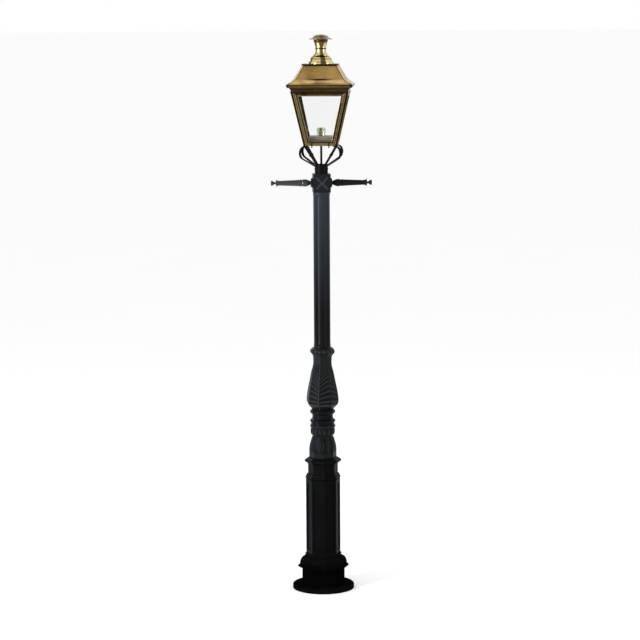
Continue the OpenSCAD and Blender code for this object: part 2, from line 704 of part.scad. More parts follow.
module frieze_frame() color(brass) {
    z = frieze_z;
    t = eave_z;
    square_run() polygon(concat([[half(z) - 12, z], [half(z) + 1, z]],
        arc(half(z) + 1, z + 3, 3, -90, 90, 6),
        [[half(z + 8) - 2, z + 8], [half(t - 8) - 2, t - 8], [half(t) + 1, t - 5], [half(t) + 1, t],
            [half(t) - 14, t], [half(t) - 14, t - 3], [half(z) - 8, t - 3], [half(z) - 8, z + 3],
            [half(z) - 12, z + 3]]));
}

// Levels of the glazing frames along a face, and their depth behind the posts' face
recess = 1;
frame_s0 = along(body_z + rail_h) + door_gap;
frame_s1 = along(frieze_z) - door_gap - (recess + frame_t) * tan(lean);
clip_w = 14;
clip_edge = 3.5;
clip_t = 1.2;
clip_hold = 5;
clip_from_end = 60;
corner_ease = 5;
corner_ease_h = 34;

module glazing_frame(gap) difference() {
    translate([0, 0, -recess - frame_t]) linear_extrude(frame_t) difference() {
        face_outline(gap + corner_w, frame_s0, frame_s1);
        face_outline(gap + corner_w + stile_w, frame_s0 + stile_w, frame_s1 - stile_w);
    }
}

// The outline of a tapering face, a given distance in from the lantern's corners
module face_outline(inset, s0, s1) polygon([[-face_half(s0) + inset, s0], [face_half(s0) - inset, s0],
    [face_half(s1) - inset, s1], [-face_half(s1) + inset, s1]]);

module pane(gap) translate([0, 0, -recess - frame_t - glass_t]) linear_extrude(glass_t)
    face_outline(gap + corner_w + clip_edge, frame_s0 + clip_edge, frame_s1 - clip_edge);

// Four brass clips that hold a pane against the back of its frame
module pane_clips(gap) for (side = [-1, 1], s = [frame_s0 + clip_from_end, frame_s1 - clip_from_end]) {
    x = face_half(s) - gap - corner_w - clip_edge;
    back = -recess - frame_t;
    translate([side * x, s, back]) rotate(-side * lean) mirror([side < 0 ? 1 : 0, 0, 0]) {
        translate([fit, -clip_w / 2, -glass_t - fit - clip_t])
            cube([clip_edge - 1, clip_w, glass_t + fit + clip_t]);
        translate([-clip_hold, -clip_w / 2, -glass_t - fit - clip_t])
            cube([clip_hold + clip_edge - 1, clip_w, clip_t]);
    }
}

module frame_left() color(brass) on_face(-90) glazing_frame(0);
module frame_right() color(brass) on_face(90) glazing_frame(0);
module frame_back() color(brass) on_face(180) glazing_frame(0);
module glass_left() color(clear) on_face(-90) pane(0);
module glass_right() color(clear) on_face(90) pane(0);
module glass_back() color(clear) on_face(180) pane(0);
module glass_clips() color(bright_brass) for (a = [-90, 90, 180]) on_face(a) pane_clips(0);

// The hinge axis runs across the front, proud of the face and just under the frieze bead
hinge_n = barrel_r - 0.5;
hinge_s = frame_s1 - barrel_r;
middle_l = hinge_l / 2;

// A barrel between two stations across the hinge, bored for the pin
module barrel(x0, x1) translate([x0, hinge_s, hinge_n]) rotate([0, 90, 0]) cylinder(r = barrel_r, h = x1 - x0);
module barrel_bore(x, r) translate([x - hinge_l, hinge_s, hinge_n]) rotate([0, 90, 0])
    cylinder(r = r, h = 2 * hinge_l);

module hinge_lugs() color(brass) difference() {
    on_face() for (side = [-1, 1]) translate([side * hinge_pitch / 2, 0, 0]) difference() {
        for (m = [0, 1]) mirror([m, 0, 0]) {
            barrel(middle_l / 2 + fit, hinge_l / 2);
            translate([middle_l / 2 + fit, hinge_s, 0]) cube([hinge_l / 2 - middle_l / 2 - fit, far / 8, 3]);
        }
        barrel_bore(0, pin_r + 0.05);
    }
    translate([-far, -far, frieze_z]) cube(2 * far);
}

module hinge_pins() color(steel) on_face() for (side = [-1, 1])
    translate([side * hinge_pitch / 2 - hinge_l / 2 - 1, hinge_s, hinge_n]) rotate([0, 90, 0])
        cylinder(r = pin_r, h = hinge_l + 2);

module door_frame() color(brass) on_face() difference() {
    union() {
        glazing_frame(door_gap);
        for (side = [-1, 1]) translate([side * hinge_pitch / 2, 0, 0]) {
            barrel(-middle_l / 2, middle_l / 2);
            translate([-middle_l / 2, hinge_s - barrel_r, -recess - over]) cube([middle_l, barrel_r, hinge_n + recess + over]);
        }
    }
    for (side = [-1, 1]) barrel_bore(side * hinge_pitch / 2, pin_r + 0.05);
    // The stiles' top corners are eased, because they swing down to where the posts stand closer
    for (m = [0, 1]) mirror([m, 0, 0]) translate([0, 0, -recess - frame_t - over]) linear_extrude(frame_t + 2 * over)
        polygon([[face_half(frame_s1) - corner_w + over, frame_s1 - corner_ease_h],
            [face_half(frame_s1) - corner_w - door_gap - corner_ease, frame_s1 + over],
            [face_half(frame_s1) - corner_w + over, frame_s1 + over]]);
}

module door_glass() color(clear) on_face() pane(door_gap);
module door_clips() color(bright_brass) on_face() pane_clips(door_gap);

// Turn buttons on the bottom rail, their thumb ends hanging below it
button_screw_r = 2;
button_screw_l = 9;
button_s = along(body_z + rail_h) - button_w / 2 - fit;

module button_pivot(side) on_face() translate([side * button_pitch / 2, button_s, 0]) children();

module turn_button(side) color(bright_brass) button_pivot(side) translate([0, 0, fit])
    linear_extrude(button_t) difference() {
        union() {
            circle(d = button_w);
            translate([-button_w * 0.3, -button_l + button_w * 0.8]) square([button_w * 0.6, button_l - button_w * 0.8]);
            translate([0, -button_l + button_w * 0.8]) circle(d = button_w * 0.8);
        }
        circle(r = button_screw_r + 0.05);
    }
module turn_button_left() turn_button(-1);
module turn_button_right() turn_button(1);

module button_screws() color(brass) for (s = [-1, 1]) button_pivot(s) {
    translate([0, 0, -button_screw_l]) cylinder(r = button_screw_r, h = button_screw_l + fit * 2 + button_t);
    translate([0, 0, fit * 2 + button_t]) cylinder(r = button_screw_r * 1.8, h = 1.6);
}

// The lampholder stands on the tray and the conduit comes up into it
holder_base_h = holder_h - lamp_thread_h + 2;

module lampholder_base() color(bright_brass) translate([0, 0, tray_z]) difference() {
    r = holder_r - 1;
    h = holder_base_h;
    rotate_extrude() polygon([[0, 0], [r, 0], [r, 3], [r - 2, 4.5], [r - 2, h - 6], [r, h - 4.5], [r, h], [0, h]]);
    translate([0, 0, -over]) cylinder(r = conduit_r + 0.1, h = over + 6);
}

module lampholder_ring() color(porcelain) translate([0, 0, tray_z + holder_base_h]) rotate_extrude()
    polygon([[lamp_thread_r + 2, 0], [holder_r - 1.5, 0], [holder_r, 2], [holder_r, 8], [holder_r - 1.5, 9.5],
        [holder_r, 11], [holder_r, lamp_thread_h - 5], [holder_r - 3, lamp_thread_h - 2], [lamp_thread_r + 2, lamp_thread_h - 2]]);

module lampholder_shell() color(bright_brass) translate([0, 0, tray_z + holder_base_h]) difference() {
    cylinder(r = lamp_thread_r + 1.7, h = lamp_thread_h);
    translate([0, 0, -over]) cylinder(r = lamp_thread_r, h = lamp_thread_h + 2 * over);
}

module lampholder_contact() color(steel) translate([0, 0, tray_z + holder_base_h]) {
    cylinder(r = 7, h = 2);
    cylinder(r = 3.5, h = 3.5);
}

// Outer line of the roof flare, from the hips down to the eaves
flare_n = 7;
function flare(i) = let (u = i / flare_n) [break_w / 2 + ((eave_w - break_w) / 2 - 8) * u,
    break_z + (flare_z + 1 - break_z) * (1.55 * u - 0.55 * u ^ 2)];

module eaves_skirt() color(brass) {
    e = eave_w / 2;
    b = break_w / 2;
    t = roof_t;
    roll = 8;
    roll_z = flare_z - roll;
    inner = half(eave_z) - 10;
    square_run() polygon(concat([for (i = [0:flare_n]) flare(i)],
        arc(e - roll, roll_z, roll, 70, -80, 8),
        [[e - 5, roll_z - roll - 1], [e - 5, eave_z + 1], [e - 6, eave_z], [inner, eave_z],
            [inner, eave_z + t], [e - 5 - t, eave_z + t], [e - 5 - t, roll_z - t]],
        [for (i = [flare_n:-1:1]) flare(i) - 0.8 * [t, t]], [[b - t * 1.2, break_z]]));
}

module roof_shell() color(brass) {
    c = crown_w / 2 - crown_lap;
    b = break_w / 2;
    t = roof_t * 1.2;
    square_run() polygon([[b - t, break_z], [b, break_z], [c, crown_z], [c - t, crown_z]]);
}

// Strips folded over the four hips, from the crown down to the eaves
module hip_cappings() color(bright_brass) {
    proud = 1.8;
    line = concat([[crown_w / 2 - crown_lap, crown_z]], [for (i = [0:flare_n - 1]) flare(i)]);
    over_line = concat([[line[0][0] + proud, crown_z]],
        [for (i = [1:len(line) - 1]) line[i] + [proud, proud]]);
    for (k = [0:3]) intersection() {
        square_run() polygon(concat(line, [for (i = [len(line) - 1:-1:0]) over_line[i]]));
        rotate(45 + 90 * k) translate([0, -hip_w / 2, break_z - 2 * flare_h]) cube([far, hip_w, far]);
    }
}

module crown_plate() color(brass) difference() {
    c = crown_w / 2;
    square_run() polygon([[0, crown_z], [c, crown_z], [c, crown_z + crown_t - 3],
        [c - 2, crown_z + crown_t], [0, crown_z + crown_t]]);
    cylinder(d = neck_d - 2 * spun_t, h = 4 * far);
}

module chimney_foot() color(bright_brass) {
    r = bell_foot_d / 2;
    n = neck_d / 2;
    t = spun_t;
    h = bell_foot_h;
    shape = [[0, r], [0.1, r - 1], [0.16, r - 5], [0.21, r - 9], [0.28, r - 10], [0.4, r - 12], [0.5, r - 16],
        [0.58, r - 20], [0.64, n + 17], [0.72, n + 11.5], [0.86, n + 5.5], [1, n + 2]];
    steps = 31;
    outer = [for (i = [0:steps]) [outline(shape, i / steps), foot_z + h * i / steps]];
    inner = [for (i = [steps:-1:0]) [outline(shape, i / steps) - 1.6 * t, foot_z + h * i / steps]];
    rotate_extrude() polygon(concat([[r, foot_z]], outer, [[n - t, neck_z], [n - t, neck_z - t]], inner));
}

module chimney_neck() color(bright_brass) {
    n = neck_d / 2;
    l = lip_d / 2;
    t = spun_t;
    ring = neck_z + neck_h * 0.3;
    flare = ring + 4;
    curve = [for (i = [0:6]) let (u = i / 6) [n + (l - n - 1) * u ^ 1.4, flare + (lip_z - 4 - flare) * u]];
    back = [for (i = [6:-1:0]) curve[i] - [t, 0]];
    rotate_extrude() polygon(concat([[n - t, neck_z], [n, neck_z], [n, ring - 3], [n + 2.5, ring - 2],
        [n + 2.5, ring + 2], [n, ring + 3]], curve, [[l, lip_z - 3], [l, lip_z], [l - 6, lip_z]], back));
}

// The cap's section: a domed crown over a thin drooping brim
module cap_section() {
    d = dome_d / 2;
    b = brim_d / 2;
    z = cap_under_z + brim_rise;
    t = spun_t;
    h = dome_h - brim_rise - t;
    polygon(concat([[b, z - brim_rise - 1], [b, z - brim_rise - 1 + t], [d + 3, z + t]],
        [for (a = [6:12:90]) [d * cos(a), z + t + h * sin(a)]], [[0, z + t + h], [0, z + h]],
        [for (a = [90:-12:6]) [(d - t) * cos(a), z + h * sin(a)]], [[d + 2, z - 1]]));
}
module chimney_cap() color(bright_brass) rotate_extrude() cap_section();

module cap_stays() color(brass) difference() {
    n = neck_d / 2 - spun_t;
    for (k = [0:2]) rotate(30 + 120 * k) translate([n - 2.6, -4, neck_z + 20])
        cube([2, 8, cap_under_z + dome_h - neck_z - 20]);
    rotate_extrude() cap_section();
    translate([0, 0, cap_under_z + dome_h / 2]) difference() {
        cylinder(d = brim_d, h = dome_h);
        translate([0, 0, brim_rise - dome_h / 2]) rotate_extrude() intersection() {
            scale([1, (dome_h - brim_rise - spun_t) / (dome_d / 2 - spun_t)]) circle(r = dome_d / 2 - spun_t);
            square(far);
        }
    }
}

base_flange();
plinth();
pedestal();
pedestal_cap();
bell();
lobed_drum();
ring_collar();
vase();
shaft();
ladder_block();
block_carving();
ladder_arm_left();
ladder_arm_right();
frog_socket();
frog_set_screws();
frog_legs();
frog_scrolls();
frog_nuts();
conduit_bush();
conduit();
conduit_nuts();
bottom_frame();
floor_tray();
post_front_left();
post_front_right();
post_back_left();
post_back_right();
frieze_frame();
frame_left();
frame_right();
frame_back();
glass_left();
glass_right();
glass_back();
glass_clips();
hinge_lugs();
hinge_pins();
door_frame();
door_glass();
door_clips();
turn_button_left();
turn_button_right();
button_screws();
lampholder_base();
lampholder_ring();
lampholder_shell();
lampholder_contact();
eaves_skirt();
roof_shell();
hip_cappings();
crown_plate();
chimney_foot();
chimney_neck();
chimney_cap();
cap_stays();
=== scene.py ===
import math
import bpy
from mathutils import Matrix, Vector


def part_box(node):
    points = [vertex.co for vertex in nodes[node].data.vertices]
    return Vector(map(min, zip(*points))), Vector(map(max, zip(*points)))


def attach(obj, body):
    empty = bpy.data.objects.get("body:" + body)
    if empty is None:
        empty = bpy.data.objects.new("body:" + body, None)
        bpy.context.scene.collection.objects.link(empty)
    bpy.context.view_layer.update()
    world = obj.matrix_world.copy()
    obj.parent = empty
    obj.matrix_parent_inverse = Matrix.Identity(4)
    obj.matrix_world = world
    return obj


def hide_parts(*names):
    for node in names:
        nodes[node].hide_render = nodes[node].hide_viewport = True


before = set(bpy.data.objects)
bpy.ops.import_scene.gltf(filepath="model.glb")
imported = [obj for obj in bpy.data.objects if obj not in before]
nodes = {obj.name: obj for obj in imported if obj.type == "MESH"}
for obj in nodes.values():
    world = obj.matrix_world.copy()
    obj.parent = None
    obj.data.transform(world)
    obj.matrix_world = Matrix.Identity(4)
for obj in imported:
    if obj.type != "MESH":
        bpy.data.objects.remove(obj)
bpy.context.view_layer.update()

scene = bpy.context.scene
print("frame loaded:", len(nodes), "nodes")


# shader maths: a wire is one socket's value, and sums on it add Math nodes
class Wire:
    def __init__(self, tree, socket):
        self.tree = tree
        self.socket = socket

    def math(self, operation, *values, clamp=False):
        node = self.tree.nodes.new("ShaderNodeMath")
        node.operation = operation
        node.use_clamp = clamp
        for slot, value in zip(node.inputs, values):
            if isinstance(value, Wire):
                self.tree.links.new(value.socket, slot)
            else:
                slot.default_value = value
        return Wire(self.tree, node.outputs[0])

    def __add__(self, other):
        return self.math("ADD", self, other)

    def __radd__(self, other):
        return self.math("ADD", other, self)

    def __sub__(self, other):
        return self.math("SUBTRACT", self, other)

    def __rsub__(self, other):
        return self.math("SUBTRACT", other, self)

    def __mul__(self, other):
        return self.math("MULTIPLY", self, other)

    def __rmul__(self, other):
        return self.math("MULTIPLY", other, self)

    def __truediv__(self, other):
        return self.math("DIVIDE", self, other)

    def held(self):  # kept between 0 and 1
        return self.math("ADD", self, 0.0, clamp=True)

    def unsigned(self):
        return self.math("ABSOLUTE", self)


class Finish:
    def __init__(self, name):
        self.material = bpy.data.materials.new(name)
        self.material.use_nodes = True
        self.tree = self.material.node_tree
        self.shader = self.tree.nodes["Principled BSDF"]

    def add(self, kind, settings=None, values=None, output=0):
        node = self.tree.nodes.new(kind)
        for key, value in (settings or {}).items():
            setattr(node, key, value)
        for key, value in (values or {}).items():
            if isinstance(value, Wire):
                self.tree.links.new(value.socket, node.inputs[key])
            else:
                node.inputs[key].default_value = value
        return Wire(self.tree, node.outputs[output])

    def blend(self, factor, first, second):
        return self.add("ShaderNodeMix", {"data_type": "RGBA"}, {0: factor, 6: first, 7: second}, 2)

    def place(self):  # object coordinates, in metres
        return self.add("ShaderNodeTexCoord", output=3)

    def parts(self, vector):
        split = self.add("ShaderNodeSeparateXYZ", values={0: vector}).socket.node
        return [Wire(self.tree, out) for out in split.outputs]

    def noise(self, vector, scale, detail, roughness):
        return self.add("ShaderNodeTexNoise", None,
                        {"Vector": vector, "Scale": scale, "Detail": detail, "Roughness": roughness})

    def stretch(self, vector, scale):
        return self.add("ShaderNodeVectorMath", {"operation": "MULTIPLY"}, {0: vector, 1: scale})

    def bump(self, height, distance, strength, under=None):
        values = {"Height": height, "Distance": distance, "Strength": strength}
        if under is not None:
            values["Normal"] = under
        return self.add("ShaderNodeBump", None, values)

    def ramp(self, factor, stops):  # stops of place and share, from 0 for black to 1 for white
        ramp = self.add("ShaderNodeValToRGB", None, {0: factor})
        elements = ramp.socket.node.color_ramp.elements
        while len(elements) < len(stops):
            elements.new(0.5)
        for element, (place, share) in zip(elements, stops):
            element.position = place
            element.color = (share, share, share, 1)
        return ramp

    def span(self, distance, look):  # a ramp over a stretch that starts at "from", in metres
        return self.ramp((distance - look["from"]) * look["perMetre"], look["stops"])

    def bandWave(self, x, y, count, turn, wander=0.0):  # a wave round the post's axis, between 0 and 1
        return x.math("SINE", (x.math("ARCTAN2", x, y) + wander) * count + turn) * 0.5 + 0.5

    def give(self, **values):
        for key, value in values.items():
            slot = self.shader.inputs[key.replace("_", " ")]
            if isinstance(value, Wire):
                self.tree.links.new(value.socket, slot)
            else:
                slot.default_value = value


# black paint over iron: a faint sand-cast grain under a coat that has flowed smooth. Painted light: the colour
# is darkest near the ground and lighter towards the top of the post, and a painted highlight lies where a
# carved piece marks its crests
ironPaint = {"dark": (0.0004, 0.0004, 0.0005, 1), "light": (0.0018, 0.0020, 0.0024, 1),
             "faded": (0.0085, 0.0100, 0.0128, 1), "brightened": (0.040, 0.046, 0.045, 1), "fadeFrom": 0.6,
             "fadeOver": 2.2, "toplightWander": 0.3, "cloud": 6.0, "grain": 420.0, "grainDepth": 0.00012,
             "ripple": 38.0, "rippleDepth": 0.0004, "rough": 0.42, "shine": 0.03}


def makeIronPaint(name, **changes):
    look = dict(ironPaint, **changes)
    f = Finish(name)
    here = f.place()
    cloud = f.noise(here, look["cloud"], 4.0, 0.6)
    grain = f.noise(here, look["grain"], 2.0, 0.55)
    ripple = f.noise(here, look["ripple"], 3.0, 0.5)
    height = f.parts(here)[2]
    # painted light: the colour grows lighter towards the top of the post, standing in for the light from above
    faded = ((height - look["fadeFrom"]) / look["fadeOver"] + (cloud - 0.5) * look["toplightWander"]).held()
    colour = f.blend(faded, f.blend((cloud * 1.6 - 0.3).held(), look["dark"], look["light"]), look["faded"])
    # painted highlight: a lighter colour where a carved piece marks its crests, ribs and lips
    paintedHighlight = f.add("ShaderNodeAttribute", {"attribute_name": "paintedHighlight"}, output=2)
    colour = f.blend((paintedHighlight * (0.7 + grain * 0.6)).held(), colour, look["brightened"])
    flow = f.bump(ripple, look["rippleDepth"], 0.5)
    f.give(Base_Color=colour, Roughness=look["rough"] + (cloud - 0.5) * 0.16 + (grain - 0.5) * 0.10,
           Normal=f.bump(grain, look["grainDepth"], 0.6, flow), Specular_IOR_Level=look["shine"])
    return f.material


# sheet brass: warm, with drawn streaks, slow tarnish clouds and a few darker stains
sheet = {"grain": 900.0, "stainScale": 2.3, "stains": [(0.56, 0), (0.72, 1)], "streakShare": 0.35,
         "darkBandShare": 1.3, "coatRough": 0.12}


def makeBrass(name, look):
    f = Finish(name)
    here = f.place()
    x, y, z = f.parts(here)
    cloud = f.noise(here, look["cloud"], 4.0, 0.6)
    streak = f.noise(f.stretch(here, look["streak"]), 1.0, 3.0, 0.6)
    fine = f.noise(here, sheet["grain"], 2.0, 0.5)
    stain = f.ramp(f.noise(here, look["cloud"] * sheet["stainScale"], 5.0, 0.65), sheet["stains"])
    brightened = f.blend((cloud * 2.2 - 0.6).held(), look["deep"], look["bright"])
    tarnished = f.blend(stain * look["stain"], brightened, look["brown"])
    colour = f.blend(streak * sheet["streakShare"], tarnished, look["deep"])
    if "reflectionBands" in look:  # painted reflection: dark and light bands round the axis that run up the turned parts
        reflectionBands = look["reflectionBands"]
        wave = f.bandWave(x, y, reflectionBands["count"], reflectionBands["turn"], (cloud - 0.5) * reflectionBands["wander"])
        if "brimShadow" in look:  # painted shadow: darker up the neck towards the brim, under it
            brimShadow = look["brimShadow"]
            wave = wave + ((z - brimShadow["from"]) * brimShadow["perMetre"]).held() * brimShadow["share"]
        colour = f.blend(f.ramp(wave, reflectionBands["edge"]) * reflectionBands["share"], colour, look["brown"])
    for high, wide in look.get("jointLinesAndBrimShadow", []):  # dark lines where spun pieces meet; the widest band is painted shadow under the cap's brim
        line = (1 - (z - high).unsigned() * (1 / wide)).held()
        colour = f.blend((line * sheet["darkBandShare"]).held(), colour, look["brown"])
    x, y = x.unsigned(), y.unsigned()
    if "flare" in look:  # painted light: a painted highlight on the flare, painted shade by the crown and under the eaves' roll, and a dark painted reflection along the fold
        flare, fold = look["flare"], look["fold"]
        spots = f.ramp(f.noise(here, flare["spotScale"], 2.0, 0.5), flare["spots"])
        colour = f.blend(f.span(z, flare) * (flare["least"] + spots * flare["more"]), colour, look["gleam"])
        colour = f.blend(f.span(z, look["crown"]), colour, look["deep"])
        across = x.math("MINIMUM", x, y) / fold["half"]
        sagging = z - fold["high"] + (1 - across * across) * fold["sag"]
        # painted reflection: a dark line sagging along the fold between slope and flare
        foldReflection = f.ramp(sagging.unsigned() * fold["perMetre"], fold["stops"])
        colour = f.blend((foldReflection * (fold["share"] - across * fold["fade"])).held(), colour, look["brown"])
        # painted shade on the underside of the eaves' roll and the fascia below it
        colour = f.blend(f.span(z, look["eaves"]), colour, look["brown"])
    if "hip" in look:  # painted shadow beside the hips' cappings, and painted shade along each capping's ridge
        hip = look["hip"]
        aside = (x - y).unsigned() * hip["slant"] + (cloud - 0.5) * hip["wander"]
        colour = f.blend(f.ramp(aside * hip["perMetre"], hip["stops"]), colour, look["brown"])
    if "corner" in look:  # darker along the lantern's corners and along the posts' inner edges
        corner = look["corner"]
        inward = z * corner["taper"] - corner["from"] - x.math("MINIMUM", x, y)
        colour = f.blend(f.ramp(inward * corner["perMetre"], corner["stops"]), colour, look["brown"])
    f.give(Base_Color=colour, Metallic=1.0,
           Roughness=look["rough"] + (streak - 0.5) * 0.12 + (cloud - 0.5) * 0.14,
           Normal=f.bump(streak * 0.7 + fine * 0.3, look["depth"], 0.5), Coat_Weight=look["coat"],
           Coat_Roughness=sheet["coatRough"])
    return f.material


hipLine = {"perMetre": 40, "wander": 0.0012, "slant": 0.7071}
roofBrass = {"bright": (0.46, 0.290, 0.100, 1), "deep": (0.20, 0.112, 0.030, 1),
             "brown": (0.018, 0.009, 0.002, 1), "gleam": (0.78, 0.56, 0.26, 1), "cloud": 9.0,
             "streak": (60.0, 60.0, 9.0), "stain": 0.10, "rough": 0.30, "depth": 0.00025, "coat": 0.08,
             "hip": dict(hipLine, stops=[(0.24, 1), (0.38, 0)]),
             "fold": {"high": 2.8195, "sag": 0.006, "half": 0.134, "perMetre": 120, "share": 1.35,
                      "fade": 2.0, "stops": [(0.25, 1), (0.75, 0)]},
             "flare": {"from": 2.768, "perMetre": 20, "spotScale": 13.0, "least": 0.3, "more": 0.55,
                       "stops": [(0.42, 0), (0.52, 1), (0.78, 0.7), (0.98, 0)],
                       "spots": [(0.42, 0), (0.62, 1)]},
             "crown": {"from": 2.860, "perMetre": 36,
                       "stops": [(0.0, 0), (0.7, 0.2), (0.86, 0.5), (1.0, 0.9)]},
             "eaves": {"from": 2.768, "perMetre": 50,
                       "stops": [(0.10, 0.7), (0.30, 0.45), (0.50, 0.5), (0.62, 1), (0.84, 1), (0.94, 0)]}}
# painted highlight: the hips' cappings are given a pale cream brass that stands in for the light along the hips
hipBrass = {"bright": (0.86, 0.72, 0.48, 1), "deep": (0.60, 0.45, 0.26, 1), "brown": (0.045, 0.026, 0.010, 1),
            "cloud": 16.0, "streak": (90.0, 90.0, 14.0), "stain": 0.1, "rough": 0.26, "depth": 0.0002,
            "coat": 0.1, "hip": dict(hipLine, stops=[(0.040, 1), (0.055, 0)])}
spunLook = {"bright": (0.86, 0.73, 0.38, 1), "deep": (0.56, 0.42, 0.16, 1), "brown": (0.035, 0.019, 0.006, 1),
            "cloud": 11.0, "streak": (12.0, 12.0, 260.0), "stain": 0.2, "rough": 0.16, "depth": 0.00012,
            "coat": 0.1,
            "reflectionBands": {"count": 5.0, "turn": -0.44, "share": 0.9, "wander": 0.4, "edge": [(0.58, 0), (0.78, 1)]},
            "jointLinesAndBrimShadow": [(2.9775, 0.0062), (2.9345, 0.0042), (2.922, 0.0030), (3.020, 0.015)]}
chimneyBrass = dict(spunLook, brimShadow={"from": 2.984, "perMetre": 30, "share": 0.80})
capBrass = dict(spunLook, bright=(0.36, 0.280, 0.140, 1), deep=(0.18, 0.125, 0.050, 1), rough=0.28,
                reflectionBands=dict(spunLook["reflectionBands"], share=0.5))
# painted shade: the lantern's frames are given a near-black brown over their aged brass, standing in for the
# dark they reflect; the rail and posts are lighter copies toned to the light they catch
frameBrass = {"bright": (0.055, 0.037, 0.014, 1), "deep": (0.016, 0.010, 0.004, 1),
              "brown": (0.006, 0.004, 0.002, 1), "cloud": 16.0, "streak": (90.0, 90.0, 14.0), "stain": 0.5,
              "rough": 0.30, "depth": 0.0002, "coat": 0.04}
railBrass = dict(frameBrass, bright=(0.20, 0.145, 0.070, 1), deep=(0.10, 0.068, 0.028, 1))
postBrass = dict(frameBrass, bright=(0.085, 0.060, 0.026, 1), deep=(0.030, 0.020, 0.009, 1),
                 corner={"taper": 0.22364, "from": 0.45949, "perMetre": 40,
                         "stops": [(0.0, 1), (0.38, 0.95), (0.46, 0), (0.78, 0), (0.86, 0.8)]})
fittingBrass = {"bright": (0.50, 0.38, 0.15, 1), "deep": (0.26, 0.185, 0.07, 1), "brown": (0.10, 0.06, 0.02, 1),
                "cloud": 40.0, "streak": (200.0, 200.0, 60.0), "stain": 0.3, "rough": 0.22,
                "depth": 0.0001, "coat": 0.1}
stripBrass = dict(fittingBrass, bright=(0.34, 0.25, 0.11, 1), deep=(0.15, 0.10, 0.04, 1), rough=0.30)
# painted shade: a near-black copy of the fittings' brass for the turn buttons
buttonBrass = dict(fittingBrass, bright=(0.045, 0.032, 0.015, 1), deep=(0.02, 0.013, 0.006, 1), rough=0.45,
                   coat=0.0)
holderBrass = dict(fittingBrass, bright=(0.80, 0.82, 0.56, 1), deep=(0.55, 0.58, 0.34, 1),
                   brown=(0.16, 0.175, 0.085, 1), stain=0.0,
                   reflectionBands={"count": 4.0, "turn": 1.571, "share": 1.0, "wander": 0.4,
                          "edge": [(0.50, 0), (0.90, 1)]})

steelLook = {"bright": (0.50, 0.50, 0.51, 1), "dull": (0.275, 0.275, 0.2805, 1), "spots": 60.0,
             "drawn": (400.0, 400.0, 30.0), "rough": 0.34, "depth": 0.00012}


def makeSteel(name, look):
    f = Finish(name)
    here = f.place()
    spots = f.noise(here, look["spots"], 4.0, 0.6)
    drawn = f.noise(f.stretch(here, look["drawn"]), 1.0, 2.0, 0.5)
    f.give(Base_Color=f.blend((spots * 1.8 - 0.5).held(), look["bright"], look["dull"]), Metallic=0.9,
           Roughness=look["rough"] + (drawn - 0.5) * 0.2, Normal=f.bump(drawn, look["depth"], 0.5))
    return f.material


trayLook = {"dark": (0.125, 0.110, 0.090, 1), "pale": (0.215, 0.195, 0.160, 1), "cloud": 22.0, "dust": 300.0,
            "rough": 0.42, "depth": 0.0001}


def makeTrayPaint(name, look):
    f = Finish(name)
    here = f.place()
    cloud = f.noise(here, look["cloud"], 4.0, 0.6)
    dust = f.noise(here, look["dust"], 3.0, 0.6)
    f.give(Base_Color=f.blend((cloud * 1.7 - 0.35).held(), look["dark"], look["pale"]), Metallic=0.35,
           Roughness=look["rough"] + (dust - 0.5) * 0.2, Normal=f.bump(dust, look["depth"], 0.4))
    return f.material


# glazed porcelain with pits, and a painted reflection: dark bands round its axis
glazeLook = {"bright": (0.70, 0.70, 0.56, 1), "dull": (0.55, 0.55, 0.42, 1), "pit": (0.35, 0.30, 0.22, 1),
             "reflectionDark": (0.13, 0.125, 0.10, 1), "cloud": 55.0, "pits": 520.0,
             "pitStops": [(0.70, 0), (0.78, 1)], "reflectionBands": 4.0, "turn": 1.571, "edge": [(0.45, 0), (0.95, 0.9)],
             "rough": 0.14, "depth": 0.0003}


def makePorcelain(name, look):
    f = Finish(name)
    here = f.place()
    x, y, z = f.parts(here)
    cloud = f.noise(here, look["cloud"], 4.0, 0.6)
    pits = f.ramp(f.noise(here, look["pits"], 2.0, 0.5), look["pitStops"])
    glaze = f.blend((cloud * 1.4 - 0.2).held(), look["bright"], look["dull"])
    # painted reflection: a dark middle with light sides round the lampholder ring
    glaze = f.blend(f.ramp(f.bandWave(x, y, look["reflectionBands"], look["turn"]), look["edge"]), glaze, look["reflectionDark"])
    f.give(Base_Color=f.blend(pits * 0.5, glaze, look["pit"]), Roughness=look["rough"] + (cloud - 0.5) * 0.1,
           Normal=f.bump(cloud, look["depth"], 0.4), Coat_Weight=0.6, Coat_Roughness=0.06)
    return f.material


paneLook = {"tint": (0.16, 0.18, 0.175, 1), "smear": (9.0, 9.0, 4.0), "wave": 7.0, "depth": 0.0012,
            "least": 0.022, "more": 0.05}


def makeGlass(name, look):
    f = Finish(name)
    here = f.place()
    smear = f.noise(f.stretch(here, look["smear"]), 1.0, 5.0, 0.65)
    wave = f.noise(here, look["wave"], 2.0, 0.4)
    f.give(Base_Color=look["tint"], Roughness=0.03 + (smear - 0.4) * 0.06, Specular_IOR_Level=0.25, IOR=1.5,
           Alpha=look["least"] + (smear * 0.9 - 0.36).held() * look["more"],
           Normal=f.bump(wave, look["depth"], 0.25))
    return f.material


